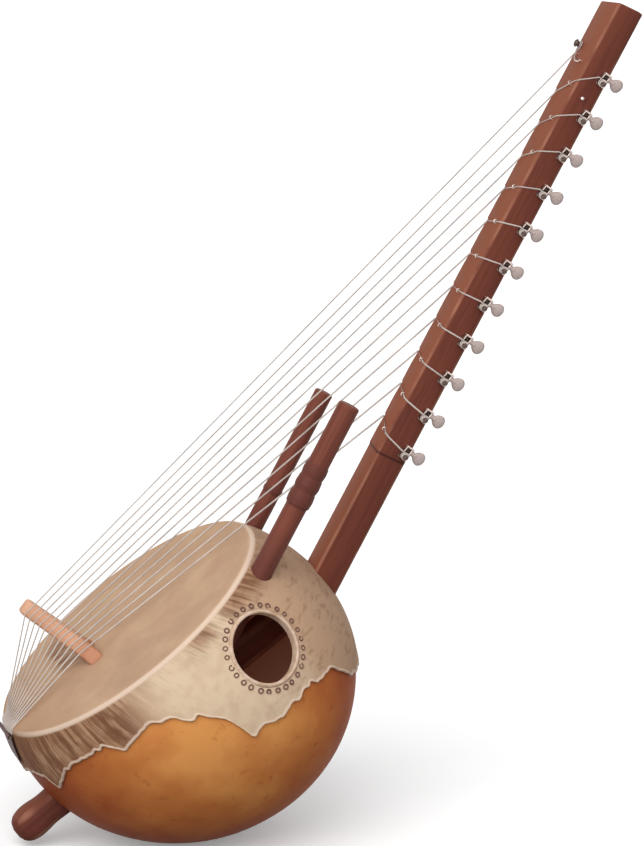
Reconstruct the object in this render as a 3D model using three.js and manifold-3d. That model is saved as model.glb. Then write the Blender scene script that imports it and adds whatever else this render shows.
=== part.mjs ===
// Kora: a long plucked lute with a gourd body under a hide, two hand posts, a tall bridge and machine heads.
// Sizes are in millimetres. +Z is up, +X runs towards the neck and +Y points away from the player's left side.
// The instrument leans back on its gourd, and the floor under it is Z = 0.

import * as THREE from 'three';
import { mergeVertices } from 'three/addons/utils/BufferGeometryUtils.js';
import Module from 'manifold-3d';

const wasm = await Module();
wasm.setup();
const { degToRad, lerp } = THREE.MathUtils;

// Fits and cuts
const clearance = 0.3;
const overrun = 30;

// Attitude: the hide's face leans back, and the neck rises further from the face
const faceLean = degToRad(37.7);
const neckRise = degToRad(24.1);

// Gourd: a calabash, a little longer along the strings than across. It leans to the head as it gets deeper
const gourdRadius = 201;
const gourdLongRadius = 209;
const gourdWall = 8;
const gourdCentreDrop = 97;
const gourdCentreAlong = -1.7;
const gourdSkew = 0.079;
const gourdColumns = 36;
const gourdRings = 10;
const gourdInnerRings = 6;

// Hide: stretched over the opening, turned down over the rim and cut to a ragged hem
const hideThickness = 3;
const rimRound = 9;
const rimSteps = 3;
const skirtRings = 6;
const hemDrop = 210;
const hemFold = 14;

// Hem round the near side: place as a share of the way from the head to the tail, then depth as a share
const hemShares = [
  [0, 0.98], [0.117, 1], [0.174, 0.95], [0.218, 0.83], [0.236, 0.77], [0.291, 0.74], [0.305, 0.7],
  [0.348, 0.724], [0.367, 0.7], [0.396, 0.714], [0.428, 0.68], [0.461, 0.69], [0.468, 0.557],
  [0.475, 0.476], [0.486, 0.43], [0.503, 0.367], [0.522, 0.367], [0.539, 0.286], [0.564, 0.267],
  [0.581, 0.229], [0.602, 0.233], [0.638, 0.271], [0.658, 0.286], [0.671, 0.229], [0.688, 0.205],
  [0.724, 0.22], [0.769, 0.233], [0.798, 0.252], [0.857, 0.362], [0.881, 0.276], [0.939, 0.248], [1, 0.29],
];

// Hem round the far side, cut by the same hand but not the same line
const farHemShares = [
  [0.1, 0.98], [0.17, 0.95], [0.23, 0.8], [0.29, 0.74], [0.35, 0.71], [0.41, 0.7], [0.455, 0.66],
  [0.48, 0.46], [0.53, 0.37], [0.58, 0.25], [0.64, 0.28], [0.69, 0.21], [0.75, 0.24], [0.81, 0.25],
  [0.86, 0.34], [0.92, 0.26],
];

// Sound hole in the near side, lined with a pale band
const soundHoleAlong = 113;
const soundHoleDrop = 74;
const soundHoleRadius = 43;
const soundHoleBand = 5.5;
const soundHoleSides = 28;
const bandProud = 1.4;

// Neck: a bevelled pole that enters the gourd's head end, in two lengths that meet at a seam
const neckEntryAlong = 204.9;
const neckEntryDrop = 116.2;
const neckFoot = 40;
const neckSeam = 184;
const neckLength = 795;
const neckWidth = 50;
const neckDepth = 38;
const neckTopWidth = 68;
const neckTopDepth = 34;
const neckBevel = 3.5;
const headProud = 0.8;
const topCrown = 2.5;
const topSlant = 15;

// Tail spike: runs through the gourd below the hide and ends in a rounded stub
const spikeDrop = 117;
const spikeWidth = 42;
const spikeDepth = 40;
const spikeBevel = 9;
const stubEnd = 263;
const stubLength = 67;
const spikeHeadEnd = 182;

// Stub outline from its end towards the gourd: place along the stub, then size, as shares
const stubShares = [
  [0, 0.3], [0.04, 0.62], [0.13, 0.86], [0.28, 0.99], [0.45, 1], [0.68, 0.93], [1, 0.96],
];

// Hand posts, beside the neck and parallel to it. They aren't a mirrored pair
const nearPostRadius = 13.5;
const nearPostSide = 100;
const nearPostRaise = 102.3;
const nearPostTop = 232;
const farPostRadius = 11.5;
const farPostSide = 80;
const farPostRaise = 81;
const farPostTop = 208;
const postFoot = 148;
const postSides = 12;
const postTopRound = 3;

// Crossbar inside the gourd, halved over both posts
const crossbarSection = 20;
const crossbarAlong = 130;
const crossbarRaise = 95;

// Bridge: an upright plank on two feet that leans towards the tail
const bridgeAlong = 54.5;
const bridgeLean = degToRad(14.4);
const bridgeHeight = 106.5;
const bridgeThickness = 19;
const bridgeTopWidth = 22;
const bridgeWaistWidth = 46;
const bridgeCorner = 9;
const bridgeFootWidth = 66;
const bridgeFootHeight = 13;
const bridgeArchWidth = 32;
const bridgeArchHeight = 9;
const bridgeRound = 4.5;
const bridgeRoundSteps = 2;
const bridgeCurveSteps = 4;

// Strings: a row up the near edge of the bridge, each to its own place on the neck
const stringCount = 12;
const bassDiameter = 1.9;
const trebleDiameter = 1.3;
const stringSides = 5;
const lowestString = 18;
const highestString = 98;
const anchoredFromTop = 75;
const highestFromTop = 128;
const lowestAboveSeam = 38;
const arrivalSide = 17;
const tailSpread = 58;
const bevelShare = 0.6;
const sideShare = 0.7;

// Tail rod that the strings are tied to, and the leather strap that holds it
const rodRadius = 1.6;
const rodLength = 70;
const rodElevation = degToRad(26);
const strapWidth = 60;
const strapThickness = 1.3;
const strapLength = 34;
const strapSteps = 5;
const strapWrap = [80, 40, 0, -40];

// Machine heads: an open frame on the near side of the neck, with a worm that turns a wheel and its post
const headCount = 11;
const headPitch = 51.15;
const topHeadFromTop = 81;
const headInset = 7.4;
const headTilt = degToRad(12);
const plateThickness = 1.2;
const plateLength = 12.4;
const plateWormSide = 5;
const plateCorner = 2;
const earThickness = 1.2;
const earHeight = 8;
const earWidth = 7;
const wormGap = 0.9;

// Worm and wheel
const wheelTeeth = 12;
const wheelModule = 0.85;
const wheelFace = 3;
const toothRise = 0.6;
const toothRoot = 0.9;
const toothTipWidth = 0.7;
const toothBaseWidth = 1.5;
const wormPitchRadius = 2.4;
const threadRise = 0.7;
const threadRoot = 0.8;
const threadTurns = 1.75;
const wormSides = 8;
const shaftRadius = 1.4;
const shaftNeck = 4;
const buttonLength = 17;
const buttonWidth = 17;
const buttonThickness = 8.5;

// Button outline along its length: place, width and thickness, as shares
const buttonShares = [
  [0, 0.3, 0.5], [0.14, 0.64, 0.75], [0.45, 1, 1], [0.8, 0.82, 0.85], [1, 0.3, 0.35],
];

// String post, carried by the plate and by a bent strap over the wheel
const postRadius = 2.4;
const journalRadius = 1.5;
const postHeadRadius = 3.3;
const postHeadHeight = 1.4;
const postTurns = 2;
const turnSteps = 8;
const turnGap = 0.7;
const keeperWidth = 1.7;
const keeperThickness = 1.2;
const keeperBend = 3.9;
const keeperTail = 7;
const wheelGap = 0.4;

// Round anchor on the neck's front, where the highest string ends
const anchorRadius = 3.4;
const anchorHeight = 10;
const anchorHeadRadius = 5;
const anchorSide = 16;
const anchorTurns = 1.25;
const anchorStart = degToRad(252);

// Solids

const blank = (geometry) => {
  const bare = geometry.index ? geometry.toNonIndexed() : geometry.clone();
  for (const name of Object.keys(bare.attributes)) {
    if (name !== 'position') bare.deleteAttribute(name);
  }
  const merged = mergeVertices(bare, clearance / 1000);
  const index = merged.index.array;
  const kept = [];
  for (let i = 0; i < index.length; i += 3) {
    const [a, b, c] = [index[i], index[i + 1], index[i + 2]];
    if (a !== b && b !== c && c !== a) kept.push(a, b, c);
  }
  merged.setIndex(kept);
  merged.computeVertexNormals();
  return merged;
};

const asSolid = (geometry) => {
  const closed = blank(geometry);
  return new wasm.Manifold(
    new wasm.Mesh({
      numProp: 3,
      vertProperties: new Float32Array(closed.attributes.position.array),
      triVerts: new Uint32Array(closed.index.array),
    }),
  );
};

const asGeometry = (solid) => {
  const mesh = solid.getMesh();
  const geometry = new THREE.BufferGeometry();
  geometry.setAttribute('position', new THREE.BufferAttribute(new Float32Array(mesh.vertProperties), 3));
  geometry.setIndex(new THREE.BufferAttribute(new Uint32Array(mesh.triVerts), 1));
  geometry.computeVertexNormals();
  return geometry;
};

const cut = (geometry, ...cutters) =>
  asGeometry(cutters.reduce((solid, cutter) => solid.subtract(asSolid(cutter)), asSolid(geometry)));

const join = (...geometries) => asGeometry(geometries.map(asSolid).reduce((a, b) => a.add(b)));

const keepInside = (geometry, limit) => asGeometry(asSolid(geometry).intersect(asSolid(limit)));

const placed = (geometry, matrix) => geometry.clone().applyMatrix4(matrix);

// A skin over rings of equal point counts, closed by a cap at each end
const loft = (rings) => {
  const count = rings[0].length;
  const positions = rings.flat().flatMap((point) => point.toArray());
  const index = [];
  for (let j = 0; j < rings.length - 1; j += 1) {
    for (let i = 0; i < count; i += 1) {
      const [a, b] = [j * count + i, j * count + ((i + 1) % count)];
      index.push(a, b, b + count, a, b + count, a + count);
    }
  }
  const last = (rings.length - 1) * count;
  for (let i = 1; i < count - 1; i += 1) {
    index.push(0, i + 1, i, last, last + i, last + i + 1);
  }
  const geometry = new THREE.BufferGeometry();
  geometry.setAttribute('position', new THREE.Float32BufferAttribute(positions, 3));
  geometry.setIndex(index);
  return geometry;
};

// A bevelled rectangle across the X axis, wound the way that loft expects
const barSection = (along, width, depth, bevel, raise = 0) => {
  const [w, d] = [width / 2, depth / 2];
  const corners = [
    [w, d - bevel], [w - bevel, d], [bevel - w, d], [-w, d - bevel],
    [-w, bevel - d], [bevel - w, -d], [w - bevel, -d], [w, bevel - d],
  ];
  return corners.map(([y, z]) => new THREE.Vector3(along, y, z + raise));
};

// A curve through its own points, so that a tube has a ring at each of them and nowhere else
class Route extends THREE.Curve {
  constructor(points) {
    super();
    this.points = points;
  }

  getUtoTmapping(u) {
    return u;
  }

  getPoint(t) {
    const place = t * (this.points.length - 1);
    const i = Math.min(Math.floor(place), this.points.length - 2);
    return this.points[i].clone().lerp(this.points[i + 1], place - i);
  }

  getTangent(t) {
    const i = Math.round(t * (this.points.length - 1));
    const from = this.points[Math.max(i - 1, 0)];
    const to = this.points[Math.min(i + 1, this.points.length - 1)];
    return to.clone().sub(from).normalize();
  }
}

const tubeAlong = (points, diameter, sides) => {
  const section = new THREE.Shape();
  for (let i = 0; i < sides; i += 1) {
    const angle = (i / sides) * Math.PI * 2;
    const corner = new THREE.Vector2(Math.cos(angle), Math.sin(angle)).multiplyScalar(diameter / 2);
    if (i === 0) section.moveTo(corner.x, corner.y);
    else section.lineTo(corner.x, corner.y);
  }
  section.closePath();
  return new THREE.ExtrudeGeometry(section, { steps: points.length - 1, extrudePath: new Route(points) });
};

const lathe = (profile, sides) =>
  new THREE.LatheGeometry(profile.map(([radius, height]) => new THREE.Vector2(radius, height)), sides);

// Turned about Z
const turned = (profile, sides) => lathe(profile, sides).rotateX(Math.PI / 2);

// Turned about X
const turnedAlong = (profile, sides) => lathe(profile, sides).rotateZ(-Math.PI / 2);

const block = (x0, x1, y0, y1, z0, z1) =>
  new THREE.BoxGeometry(x1 - x0, y1 - y0, z1 - z0).translate((x0 + x1) / 2, (y0 + y1) / 2, (z0 + z1) / 2);

// Scene graph: the lean group holds the face frame, and the neck frame sits inside it.
// In the face frame X runs along the hide to the head, Z points out of the hide and Y away from the near side.
// In the neck frame X runs up the neck and Z points out of its front.

const kora = new THREE.Group();
const face = new THREE.Group();
face.rotation.y = -faceLean;
kora.add(face);
const neck = new THREE.Group();
neck.position.set(neckEntryAlong, 0, -neckEntryDrop);
neck.rotation.y = -neckRise;
face.add(neck);
neck.updateMatrix();
const neckMatrix = neck.matrix.clone();
const toNeck = neckMatrix.clone().invert();

const finishes = {
  gourd: { color: '#c4823f', roughness: 0.45, metalness: 0 },
  hide: { color: '#bd9f80', roughness: 0.8, metalness: 0 },
  hideEdge: { color: '#d8c0a0', roughness: 0.7, metalness: 0 },
  wood: { color: '#7a4536', roughness: 0.5, metalness: 0 },
  postWood: { color: '#8a4f3d', roughness: 0.5, metalness: 0 },
  bridgeWood: { color: '#cf9c84', roughness: 0.55, metalness: 0 },
  leather: { color: '#5a3a34', roughness: 0.75, metalness: 0 },
  steel: { color: '#8d8684', roughness: 0.4, metalness: 1 },
  nickel: { color: '#e6d8d2', roughness: 0.3, metalness: 1 },
  button: { color: '#aa9c98', roughness: 0.35, metalness: 0 },
  nylon: { color: '#d2c8c2', roughness: 0.4, metalness: 0 },
};

const addPiece = (group, name, finish, geometry) => {
  const mesh = new THREE.Mesh(blank(geometry), new THREE.MeshStandardMaterial(finishes[finish]));
  mesh.name = name;
  group.add(mesh);
  return mesh;
};

// Gourd

const gourdStretch = gourdLongRadius / gourdRadius;
const rimLevel = -hideThickness - clearance;
const rimElevation = Math.asin((gourdCentreDrop + rimLevel) / gourdRadius);

const onGourd = (elevation, lift) => [
  (gourdRadius + lift) * Math.cos(elevation),
  (gourdRadius + lift) * Math.sin(elevation) - gourdCentreDrop,
];

const gourdArc = (from, to, lift, rings) =>
  Array.from({ length: rings + 1 }, (_, i) => onGourd(lerp(from, to, i / rings), lift));

// Round body to the face frame
const bodyMatrix = new THREE.Matrix4()
  .makeTranslation(gourdCentreAlong, 0, 0)
  .multiply(new THREE.Matrix4().makeShear(0, 0, 0, 0, -gourdSkew, 0))
  .scale(new THREE.Vector3(gourdStretch, 1, 1));
const onFace = (geometry) => geometry.applyMatrix4(bodyMatrix);

const pole = (profile, i) => {
  profile[i][0] = 0;
  return profile;
};

// The space inside an offset of the gourd's outside or of its hollow, from its bottom up to a level
const filled = (top, lift, rings, level) => {
  const profile = pole(gourdArc(-Math.PI / 2, top, lift, rings), 0);
  const rim = profile[profile.length - 1];
  return onFace(turned([...profile, [rim[0], level], [0, level]], gourdColumns));
};

const hollowElevation = Math.asin((gourdCentreDrop + rimLevel) / (gourdRadius - gourdWall));
const gourdSolid = (lift, level) => filled(rimElevation, lift, gourdRings, level);
const hollowSolid = (lift) => filled(hollowElevation, lift - gourdWall, gourdInnerRings, -hideThickness);

const gourdShell = () => {
  const outside = pole(gourdArc(-Math.PI / 2, rimElevation, 0, gourdRings), 0);
  const inside = gourdArc(hollowElevation, -Math.PI / 2, -gourdWall, gourdInnerRings);
  return onFace(turned([...outside, ...pole(inside, gourdInnerRings)], gourdColumns));
};

// Sound hole: its middle is on the gourd's near side, and its axis is square to the surface there

const soundHoleFrame = () => {
  const along = (soundHoleAlong - gourdCentreAlong - gourdSkew * soundHoleDrop) / gourdLongRadius;
  const up = (gourdCentreDrop - soundHoleDrop) / gourdRadius;
  const out = Math.sqrt(1 - along * along - up * up);
  const middle = new THREE.Vector3(along * gourdRadius, -out * gourdRadius, -soundHoleDrop).applyMatrix4(bodyMatrix);
  const square = new THREE.Matrix3().getNormalMatrix(bodyMatrix);
  const normal = new THREE.Vector3(along, -out, up).applyMatrix3(square).normalize();
  const turn = new THREE.Quaternion().setFromUnitVectors(new THREE.Vector3(0, 0, 1), normal);
  return new THREE.Matrix4().compose(middle, turn, new THREE.Vector3(1, 1, 1));
};

const soundHoleMatrix = soundHoleFrame();
const bandOuterRadius = soundHoleRadius + soundHoleBand;

const soundHoleDrum = (radius) => {
  const reach = gourdWall + overrun;
  return placed(turned([[0, -reach], [radius, -reach], [radius, reach], [0, reach]], soundHoleSides), soundHoleMatrix);
};

// Neck

const neckWidthAt = (along) =>
  lerp(neckWidth, neckTopWidth, Math.max(0, (along - neckSeam) / (neckLength - neckSeam)));
const neckDepthAt = (along) =>
  lerp(neckDepth, neckTopDepth, Math.max(0, (along - neckSeam) / (neckLength - neckSeam)));
const neckFrontAt = (along) => neckDepthAt(along) / 2 + (along > neckSeam ? headProud : 0);

const neckShaft = (grow) => {
  const size = [neckWidth + grow * 2, neckDepth + grow * 2, neckBevel];
  return loft([barSection(-neckFoot - grow, ...size), barSection(neckSeam, ...size)]);
};

const neckHead = () => {
  // The top is sawn at a slant, with the near side longer, and the front and back stay flat
  const station = (along, inset, slant) => {
    const depth = neckDepthAt(along) + headProud - inset;
    const section = barSection(along, neckWidthAt(along) - inset, depth, neckBevel, headProud / 2);
    return section.map((point) => {
      const place = along - (point.y / neckTopWidth) * slant;
      const deeper = (neckDepthAt(place) - neckDepthAt(along)) / 2;
      return point.set(place, point.y, point.z + Math.sign(point.z) * deeper);
    });
  };
  return loft([
    station(neckSeam + clearance, 0, 0),
    station(neckLength - topCrown, 0, topSlant),
    station(neckLength, topCrown * 2, topSlant),
  ]);
};

// Tail spike

const spike = (grow) => {
  const station = (along, share) => {
    const [width, depth] = [spikeWidth * share + grow * 2, spikeDepth * share + grow * 2];
    return barSection(along, width, depth, spikeBevel * share, -spikeDrop);
  };
  const stub = stubShares.map(([place, share]) => station(place * stubLength - stubEnd, share));
  return loft([...stub, station(spikeHeadEnd, stubShares[stubShares.length - 1][1])]);
};

// Hand posts, turned, with the near one's three grip swellings and the far one's ring

// Place up the visible post, then radius, as shares
const nearPostShares = [
  [0.408, 1], [0.416, 1.12], [0.45, 1.17], [0.486, 1.12], [0.492, 1.05], [0.527, 1.15],
  [0.566, 1.1], [0.572, 1.04], [0.61, 1.11], [0.642, 1.08], [0.648, 1],
];
const farPostShares = [[0.335, 1], [0.34, 1.06], [0.36, 1.06], [0.365, 1]];

const handPost = (radius, top, shares, grow) => {
  const wide = radius + grow;
  const profile = [
    [0, -postFoot - grow],
    [wide, -postFoot - grow],
    ...(grow ? [] : shares.map(([place, share]) => [radius * share, place * top])),
    [wide, top - postTopRound],
    [wide - postTopRound, top],
    [0, top],
  ];
  return turnedAlong(profile, postSides);
};

const nearPostMatrix = neckMatrix.clone().multiply(new THREE.Matrix4().makeTranslation(0, -nearPostSide, nearPostRaise));
const farPostMatrix = neckMatrix.clone().multiply(new THREE.Matrix4().makeTranslation(0, farPostSide, farPostRaise));
const nearPostHole = placed(handPost(nearPostRadius, nearPostTop, nearPostShares, clearance), nearPostMatrix);
const farPostHole = placed(handPost(farPostRadius, farPostTop, farPostShares, clearance), farPostMatrix);
const neckHole = placed(neckShaft(clearance), neckMatrix);

// Gourd, lining band and hide, each cut for what passes through it

addPiece(
  face,
  'gourd_shell',
  'gourd',
  cut(gourdShell(), neckHole, nearPostHole, farPostHole, spike(clearance), soundHoleDrum(bandOuterRadius)),
);

const hideRadius = gourdRadius + clearance + hideThickness;

// The band's top follows the fall of the round surface away from the hole's axis
const soundHoleBandRing = () => {
  const fall = (radius) => Math.sqrt(hideRadius ** 2 - radius ** 2) - hideRadius;
  const [inner, outer] = [soundHoleRadius, bandOuterRadius - clearance];
  const top = hideThickness + clearance;
  return turned(
    [
      [inner, fall(inner) - gourdWall],
      [outer, fall(outer) - gourdWall],
      [outer, fall(outer) + top],
      [(inner + outer) / 2, fall(inner) + top + bandProud],
      [inner, fall(inner) + top],
      [inner, fall(inner) - gourdWall],
    ],
    soundHoleSides,
  );
};
addPiece(face, 'sound_hole_band', 'hideEdge', placed(soundHoleBandRing(), soundHoleMatrix));

const rimCentreRadius = Math.sqrt((hideRadius - rimRound) ** 2 - (gourdCentreDrop - rimRound) ** 2);
const rimEndAngle = Math.atan2(gourdCentreDrop - rimRound, rimCentreRadius);

const onRim = (angle, lift) => [
  rimCentreRadius + (rimRound + lift) * Math.cos(angle),
  (rimRound + lift) * Math.sin(angle) - rimRound,
];

// Columns all the way round, each with its angle and its hem
const hideColumns = [...hemShares, ...farHemShares.toReversed().map(([place, share]) => [2 - place, share])].map(
  ([place, share]) => [place * Math.PI, Math.asin((gourdCentreDrop - share * hemDrop) / hideRadius)],
);

// One outline of the hide from its middle over the rim to the hem, then inwards under the gourd's surface
const hideOutline = (hem) => {
  const rim = Array.from({ length: rimSteps + 1 }, (_, i) =>
    onRim(lerp(Math.PI / 2, rimEndAngle, i / rimSteps), 0));
  const skirt = Array.from({ length: skirtRings }, (_, i) =>
    onGourd(lerp(rimEndAngle, hem, (i + 1) / skirtRings), clearance + hideThickness));
  return [...rim, ...skirt, onGourd(hem, -hemFold)];
};

const hideBlank = () => {
  const outlines = hideColumns.map(([, hem]) => hideOutline(hem));
  const rings = outlines[0].map((_, j) =>
    hideColumns.map(([angle], column) => {
      const [radius, level] = outlines[column][j];
      return new THREE.Vector3(radius * Math.cos(angle), -radius * Math.sin(angle), level);
    }));
  return onFace(loft(rings));
};

addPiece(
  face,
  'hide',
  'hide',
  cut(
    hideBlank(),
    gourdSolid(clearance, -hideThickness),
    neckHole,
    nearPostHole,
    farPostHole,
    soundHoleDrum(bandOuterRadius),
  ),
);

// Poles

addPiece(neck, 'neck_shaft', 'wood', neckShaft(0));
addPiece(neck, 'neck_head', 'wood', neckHead());
addPiece(face, 'tail_spike', 'wood', cut(spike(0), neckHole));

const nearPost = addPiece(neck, 'near_hand_post', 'postWood', handPost(nearPostRadius, nearPostTop, nearPostShares, 0));
nearPost.position.set(0, -nearPostSide, nearPostRaise);
const farPost = addPiece(neck, 'far_hand_post', 'wood', handPost(farPostRadius, farPostTop, farPostShares, 0));
farPost.position.set(0, farPostSide, farPostRaise);

const crossbar = placed(
  block(
    -crossbarAlong - crossbarSection / 2,
    -crossbarAlong + crossbarSection / 2,
    -gourdRadius,
    gourdRadius,
    crossbarRaise - crossbarSection / 2,
    crossbarRaise + crossbarSection / 2,
  ),
  neckMatrix,
);
addPiece(
  face,
  'crossbar',
  'wood',
  cut(keepInside(crossbar, hollowSolid(-clearance)), nearPostHole, farPostHole),
);

// Bridge

const bridgeOutline = () => {
  const [top, waist, foot] = [bridgeTopWidth / 2, bridgeWaistWidth / 2, bridgeFootWidth / 2];
  const arch = bridgeArchWidth / 2;
  const outline = new THREE.Shape();
  outline.moveTo(arch, -overrun);
  outline.lineTo(foot, -overrun);
  outline.lineTo(foot, 0);
  outline.quadraticCurveTo(foot, bridgeFootHeight / 2, waist, bridgeFootHeight);
  outline.lineTo(top, bridgeHeight - bridgeCorner);
  outline.quadraticCurveTo(top, bridgeHeight, top - bridgeCorner, bridgeHeight);
  outline.lineTo(bridgeCorner - top, bridgeHeight);
  outline.quadraticCurveTo(-top, bridgeHeight, -top, bridgeHeight - bridgeCorner);
  outline.lineTo(-waist, bridgeFootHeight);
  outline.quadraticCurveTo(-foot, bridgeFootHeight / 2, -foot, 0);
  outline.lineTo(-foot, -overrun);
  outline.lineTo(-arch, -overrun);
  outline.lineTo(-arch, 0);
  outline.quadraticCurveTo(-arch, bridgeArchHeight, 0, bridgeArchHeight);
  outline.quadraticCurveTo(arch, bridgeArchHeight, arch, 0);
  outline.closePath();
  return outline;
};

// The outline is drawn across Y and up Z, and the plank's thickness runs along X
const bridge = () => {
  const plank = new THREE.ExtrudeGeometry(bridgeOutline(), {
    depth: bridgeThickness - bridgeRound * 2,
    bevelSize: bridgeRound,
    bevelThickness: bridgeRound,
    bevelOffset: -bridgeRound,
    bevelSegments: bridgeRoundSteps,
    curveSegments: bridgeCurveSteps,
  });
  plank.translate(0, 0, bridgeRound - bridgeThickness / 2);
  plank.rotateX(Math.PI / 2);
  plank.rotateZ(Math.PI / 2);
  plank.rotateY(-bridgeLean);
  plank.translate(-bridgeAlong, 0, 0);
  const under = overrun + bridgeFootWidth;
  return cut(plank, block(-bridgeAlong - under, under - bridgeAlong, -under, under, -under, clearance));
};
addPiece(face, 'bridge', 'bridgeWood', bridge());

// Strings

const stringDiameter = (i) => lerp(trebleDiameter, bassDiameter, i / (stringCount - 1));

// Places on the round body, on the tail side, at a distance across the instrument
const tailPoint = ([radius, level], across) => {
  const along = Math.sqrt(radius * radius - across * across);
  return new THREE.Vector3(-along, -across, level).applyMatrix4(bodyMatrix);
};

const rodLift = clearance * 2 + hideThickness + rodRadius;

// From the tail rod over the rim and past the bridge
const stringTail = (i) => {
  const radius = stringDiameter(i) / 2;
  const lift = radius + clearance;
  const across = lerp(-tailSpread / 2, tailSpread / 2, i / (stringCount - 1));
  const knot = rodElevation + (rodRadius + clearance * 2) / hideRadius;
  return [
    tailPoint(onGourd(knot, hideThickness + clearance + lift), across),
    tailPoint(onRim(rimEndAngle, lift), across),
    tailPoint(onRim((rimEndAngle + Math.PI / 2) / 2, lift), across),
    tailPoint(onRim(Math.PI / 2, lift), across),
  ];
};

const bridgeEdge = (i, step) => {
  const radius = stringDiameter(i) / 2;
  const height = lerp(highestString, lowestString, i / (stringCount - 1));
  const along = -bridgeAlong - height * Math.tan(bridgeLean) + step;
  const rise = (height - bridgeFootHeight) / (bridgeHeight - bridgeFootHeight);
  const side = lerp(bridgeWaistWidth, bridgeTopWidth, rise) / 2;
  return new THREE.Vector3(along, -side - radius - clearance, height);
};

const headAlong = (k) => neckLength - topHeadFromTop - k * headPitch;

// A machine head's own frame: X along the worm to the button, Y towards the neck's top, Z out of the near side
const headMatrix = (k) => {
  const along = headAlong(k);
  const taper = (neckTopWidth - neckWidth) / 2 / (neckLength - neckSeam);
  const out = new THREE.Vector3(-taper, -1, 0).normalize();
  const worm = new THREE.Vector3(-Math.sin(headTilt), 0, -Math.cos(headTilt));
  worm.addScaledVector(out, -worm.dot(out)).normalize();
  const up = out.clone().cross(worm);
  const place = new THREE.Vector3(along, -neckWidthAt(along) / 2, headInset - neckDepthAt(along) / 2);
  return new THREE.Matrix4().makeBasis(worm, up, out).setPosition(place);
};

// Levels above the neck's near side
const plateTop = clearance + plateThickness;
const wormRadius = wormPitchRadius + threadRise;
const wormLevel = plateTop + wormRadius + wheelGap;
const keeperLevel = wormLevel + wheelFace / 2 + wheelGap;
const windingLevel = keeperLevel + keeperThickness + wheelGap + bassDiameter / 2;
const windingRise = (bassDiameter + turnGap) * postTurns;
const postTopLevel = windingLevel + windingRise + bassDiameter / 2 + wheelGap;

const wheelPitchRadius = (wheelTeeth * wheelModule) / 2;
const wheelOffset = wheelPitchRadius + wormPitchRadius;

// Turns about a post whose axis is Z, from a starting angle, climbing by a pitch each turn
const turnsAbout = (middle, radius, start, turns, pitch) => {
  const steps = Math.round(Math.abs(turns) * turnSteps);
  return Array.from({ length: steps + 1 }, (_, j) => {
    const share = j / steps;
    const angle = start + share * turns * Math.PI * 2;
    return new THREE.Vector3(
      middle.x + radius * Math.cos(angle),
      middle.y + radius * Math.sin(angle),
      middle.z + share * Math.abs(turns) * pitch,
    );
  });
};

// Across the neck's front from its far part, and over the near bevel at the string's own distance from it
const neckCrossing = (i, from, to) => {
  const lift = stringDiameter(i) / 2 + clearance;
  const [middle, near] = [lerp(from, to, bevelShare), lerp(from, to, sideShare)];
  const front = Math.max(neckFrontAt(from), neckFrontAt(near));
  const side = neckWidthAt(near) / 2;
  const turn = lift * Math.tan(Math.PI / 8);
  return [
    new THREE.Vector3(from, arrivalSide, front + lift),
    new THREE.Vector3(middle, neckBevel - side - turn, front + lift),
    new THREE.Vector3(near, -side - lift, front - neckBevel + turn),
  ];
};

const arrival = (i) =>
  lerp(neckLength - highestFromTop, neckSeam + lowestAboveSeam, (i - 1) / (stringCount - 2));

const stringEnd = (i) => {
  const diameter = stringDiameter(i);
  const matrix = headMatrix(i - 1);
  const middle = new THREE.Vector3(0, -wheelOffset, windingLevel);
  const radius = postRadius + clearance + diameter / 2;
  const lead = new THREE.Vector3(-keeperBend * 2, radius - wheelOffset, windingLevel).applyMatrix4(matrix);
  const turns = turnsAbout(middle, radius, Math.PI / 2, -postTurns, diameter + turnGap);
  const crossing = [...neckCrossing(i, arrival(i), lead.x), lead];
  return { crossing, turns: turns.map((point) => point.applyMatrix4(matrix)) };
};

// The highest string winds round the anchor on the neck's front
const anchorAlong = neckLength - anchoredFromTop + anchorHeadRadius * 2;
const anchorEnd = (i) => {
  const diameter = stringDiameter(i);
  const level = neckFrontAt(anchorAlong) + clearance + diameter;
  const middle = new THREE.Vector3(anchorAlong, anchorSide, level);
  const radius = anchorRadius + clearance + diameter / 2;
  return { crossing: [], turns: turnsAbout(middle, radius, anchorStart, anchorTurns, diameter + turnGap) };
};

const selfGap = (turns, diameter) => {
  let least = Infinity;
  turns.forEach((a, j) => {
    turns.slice(j + Math.ceil(turnSteps / 2)).forEach((b) => {
      least = Math.min(least, a.distanceTo(b) - diameter);
    });
  });
  return least;
};

for (let i = 0; i < stringCount; i += 1) {
  const { crossing, turns } = i === 0 ? anchorEnd(i) : stringEnd(i);
  const edge = bridgeThickness / 2 - bridgeRound;
  const route = [
    ...stringTail(i),
    bridgeEdge(i, -edge),
    bridgeEdge(i, edge),
    ...[...crossing, ...turns].map((point) => point.applyMatrix4(neckMatrix)),
  ];
  const number = String(i + 1).padStart(2, '0');
  addPiece(face, `string_${number}`, 'nylon', tubeAlong(route, stringDiameter(i), stringSides));
  console.log(`string ${number}: least gap between its turns ${selfGap(turns, stringDiameter(i)).toFixed(2)} mm`);
}

const anchor = addPiece(
  neck,
  'string_anchor',
  'steel',
  turned(
    [
      [0, 0],
      [anchorRadius, 0],
      [anchorRadius, anchorHeight - anchorRadius],
      [anchorHeadRadius, anchorHeight - anchorRadius],
      [anchorHeadRadius - clearance, anchorHeight - anchorRadius / 2],
      [anchorRadius, anchorHeight],
      [0, anchorHeight],
    ],
    postSides,
  ),
);
anchor.position.set(anchorAlong, anchorSide, neckFrontAt(anchorAlong) + clearance);

// Tail rod and strap

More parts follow.
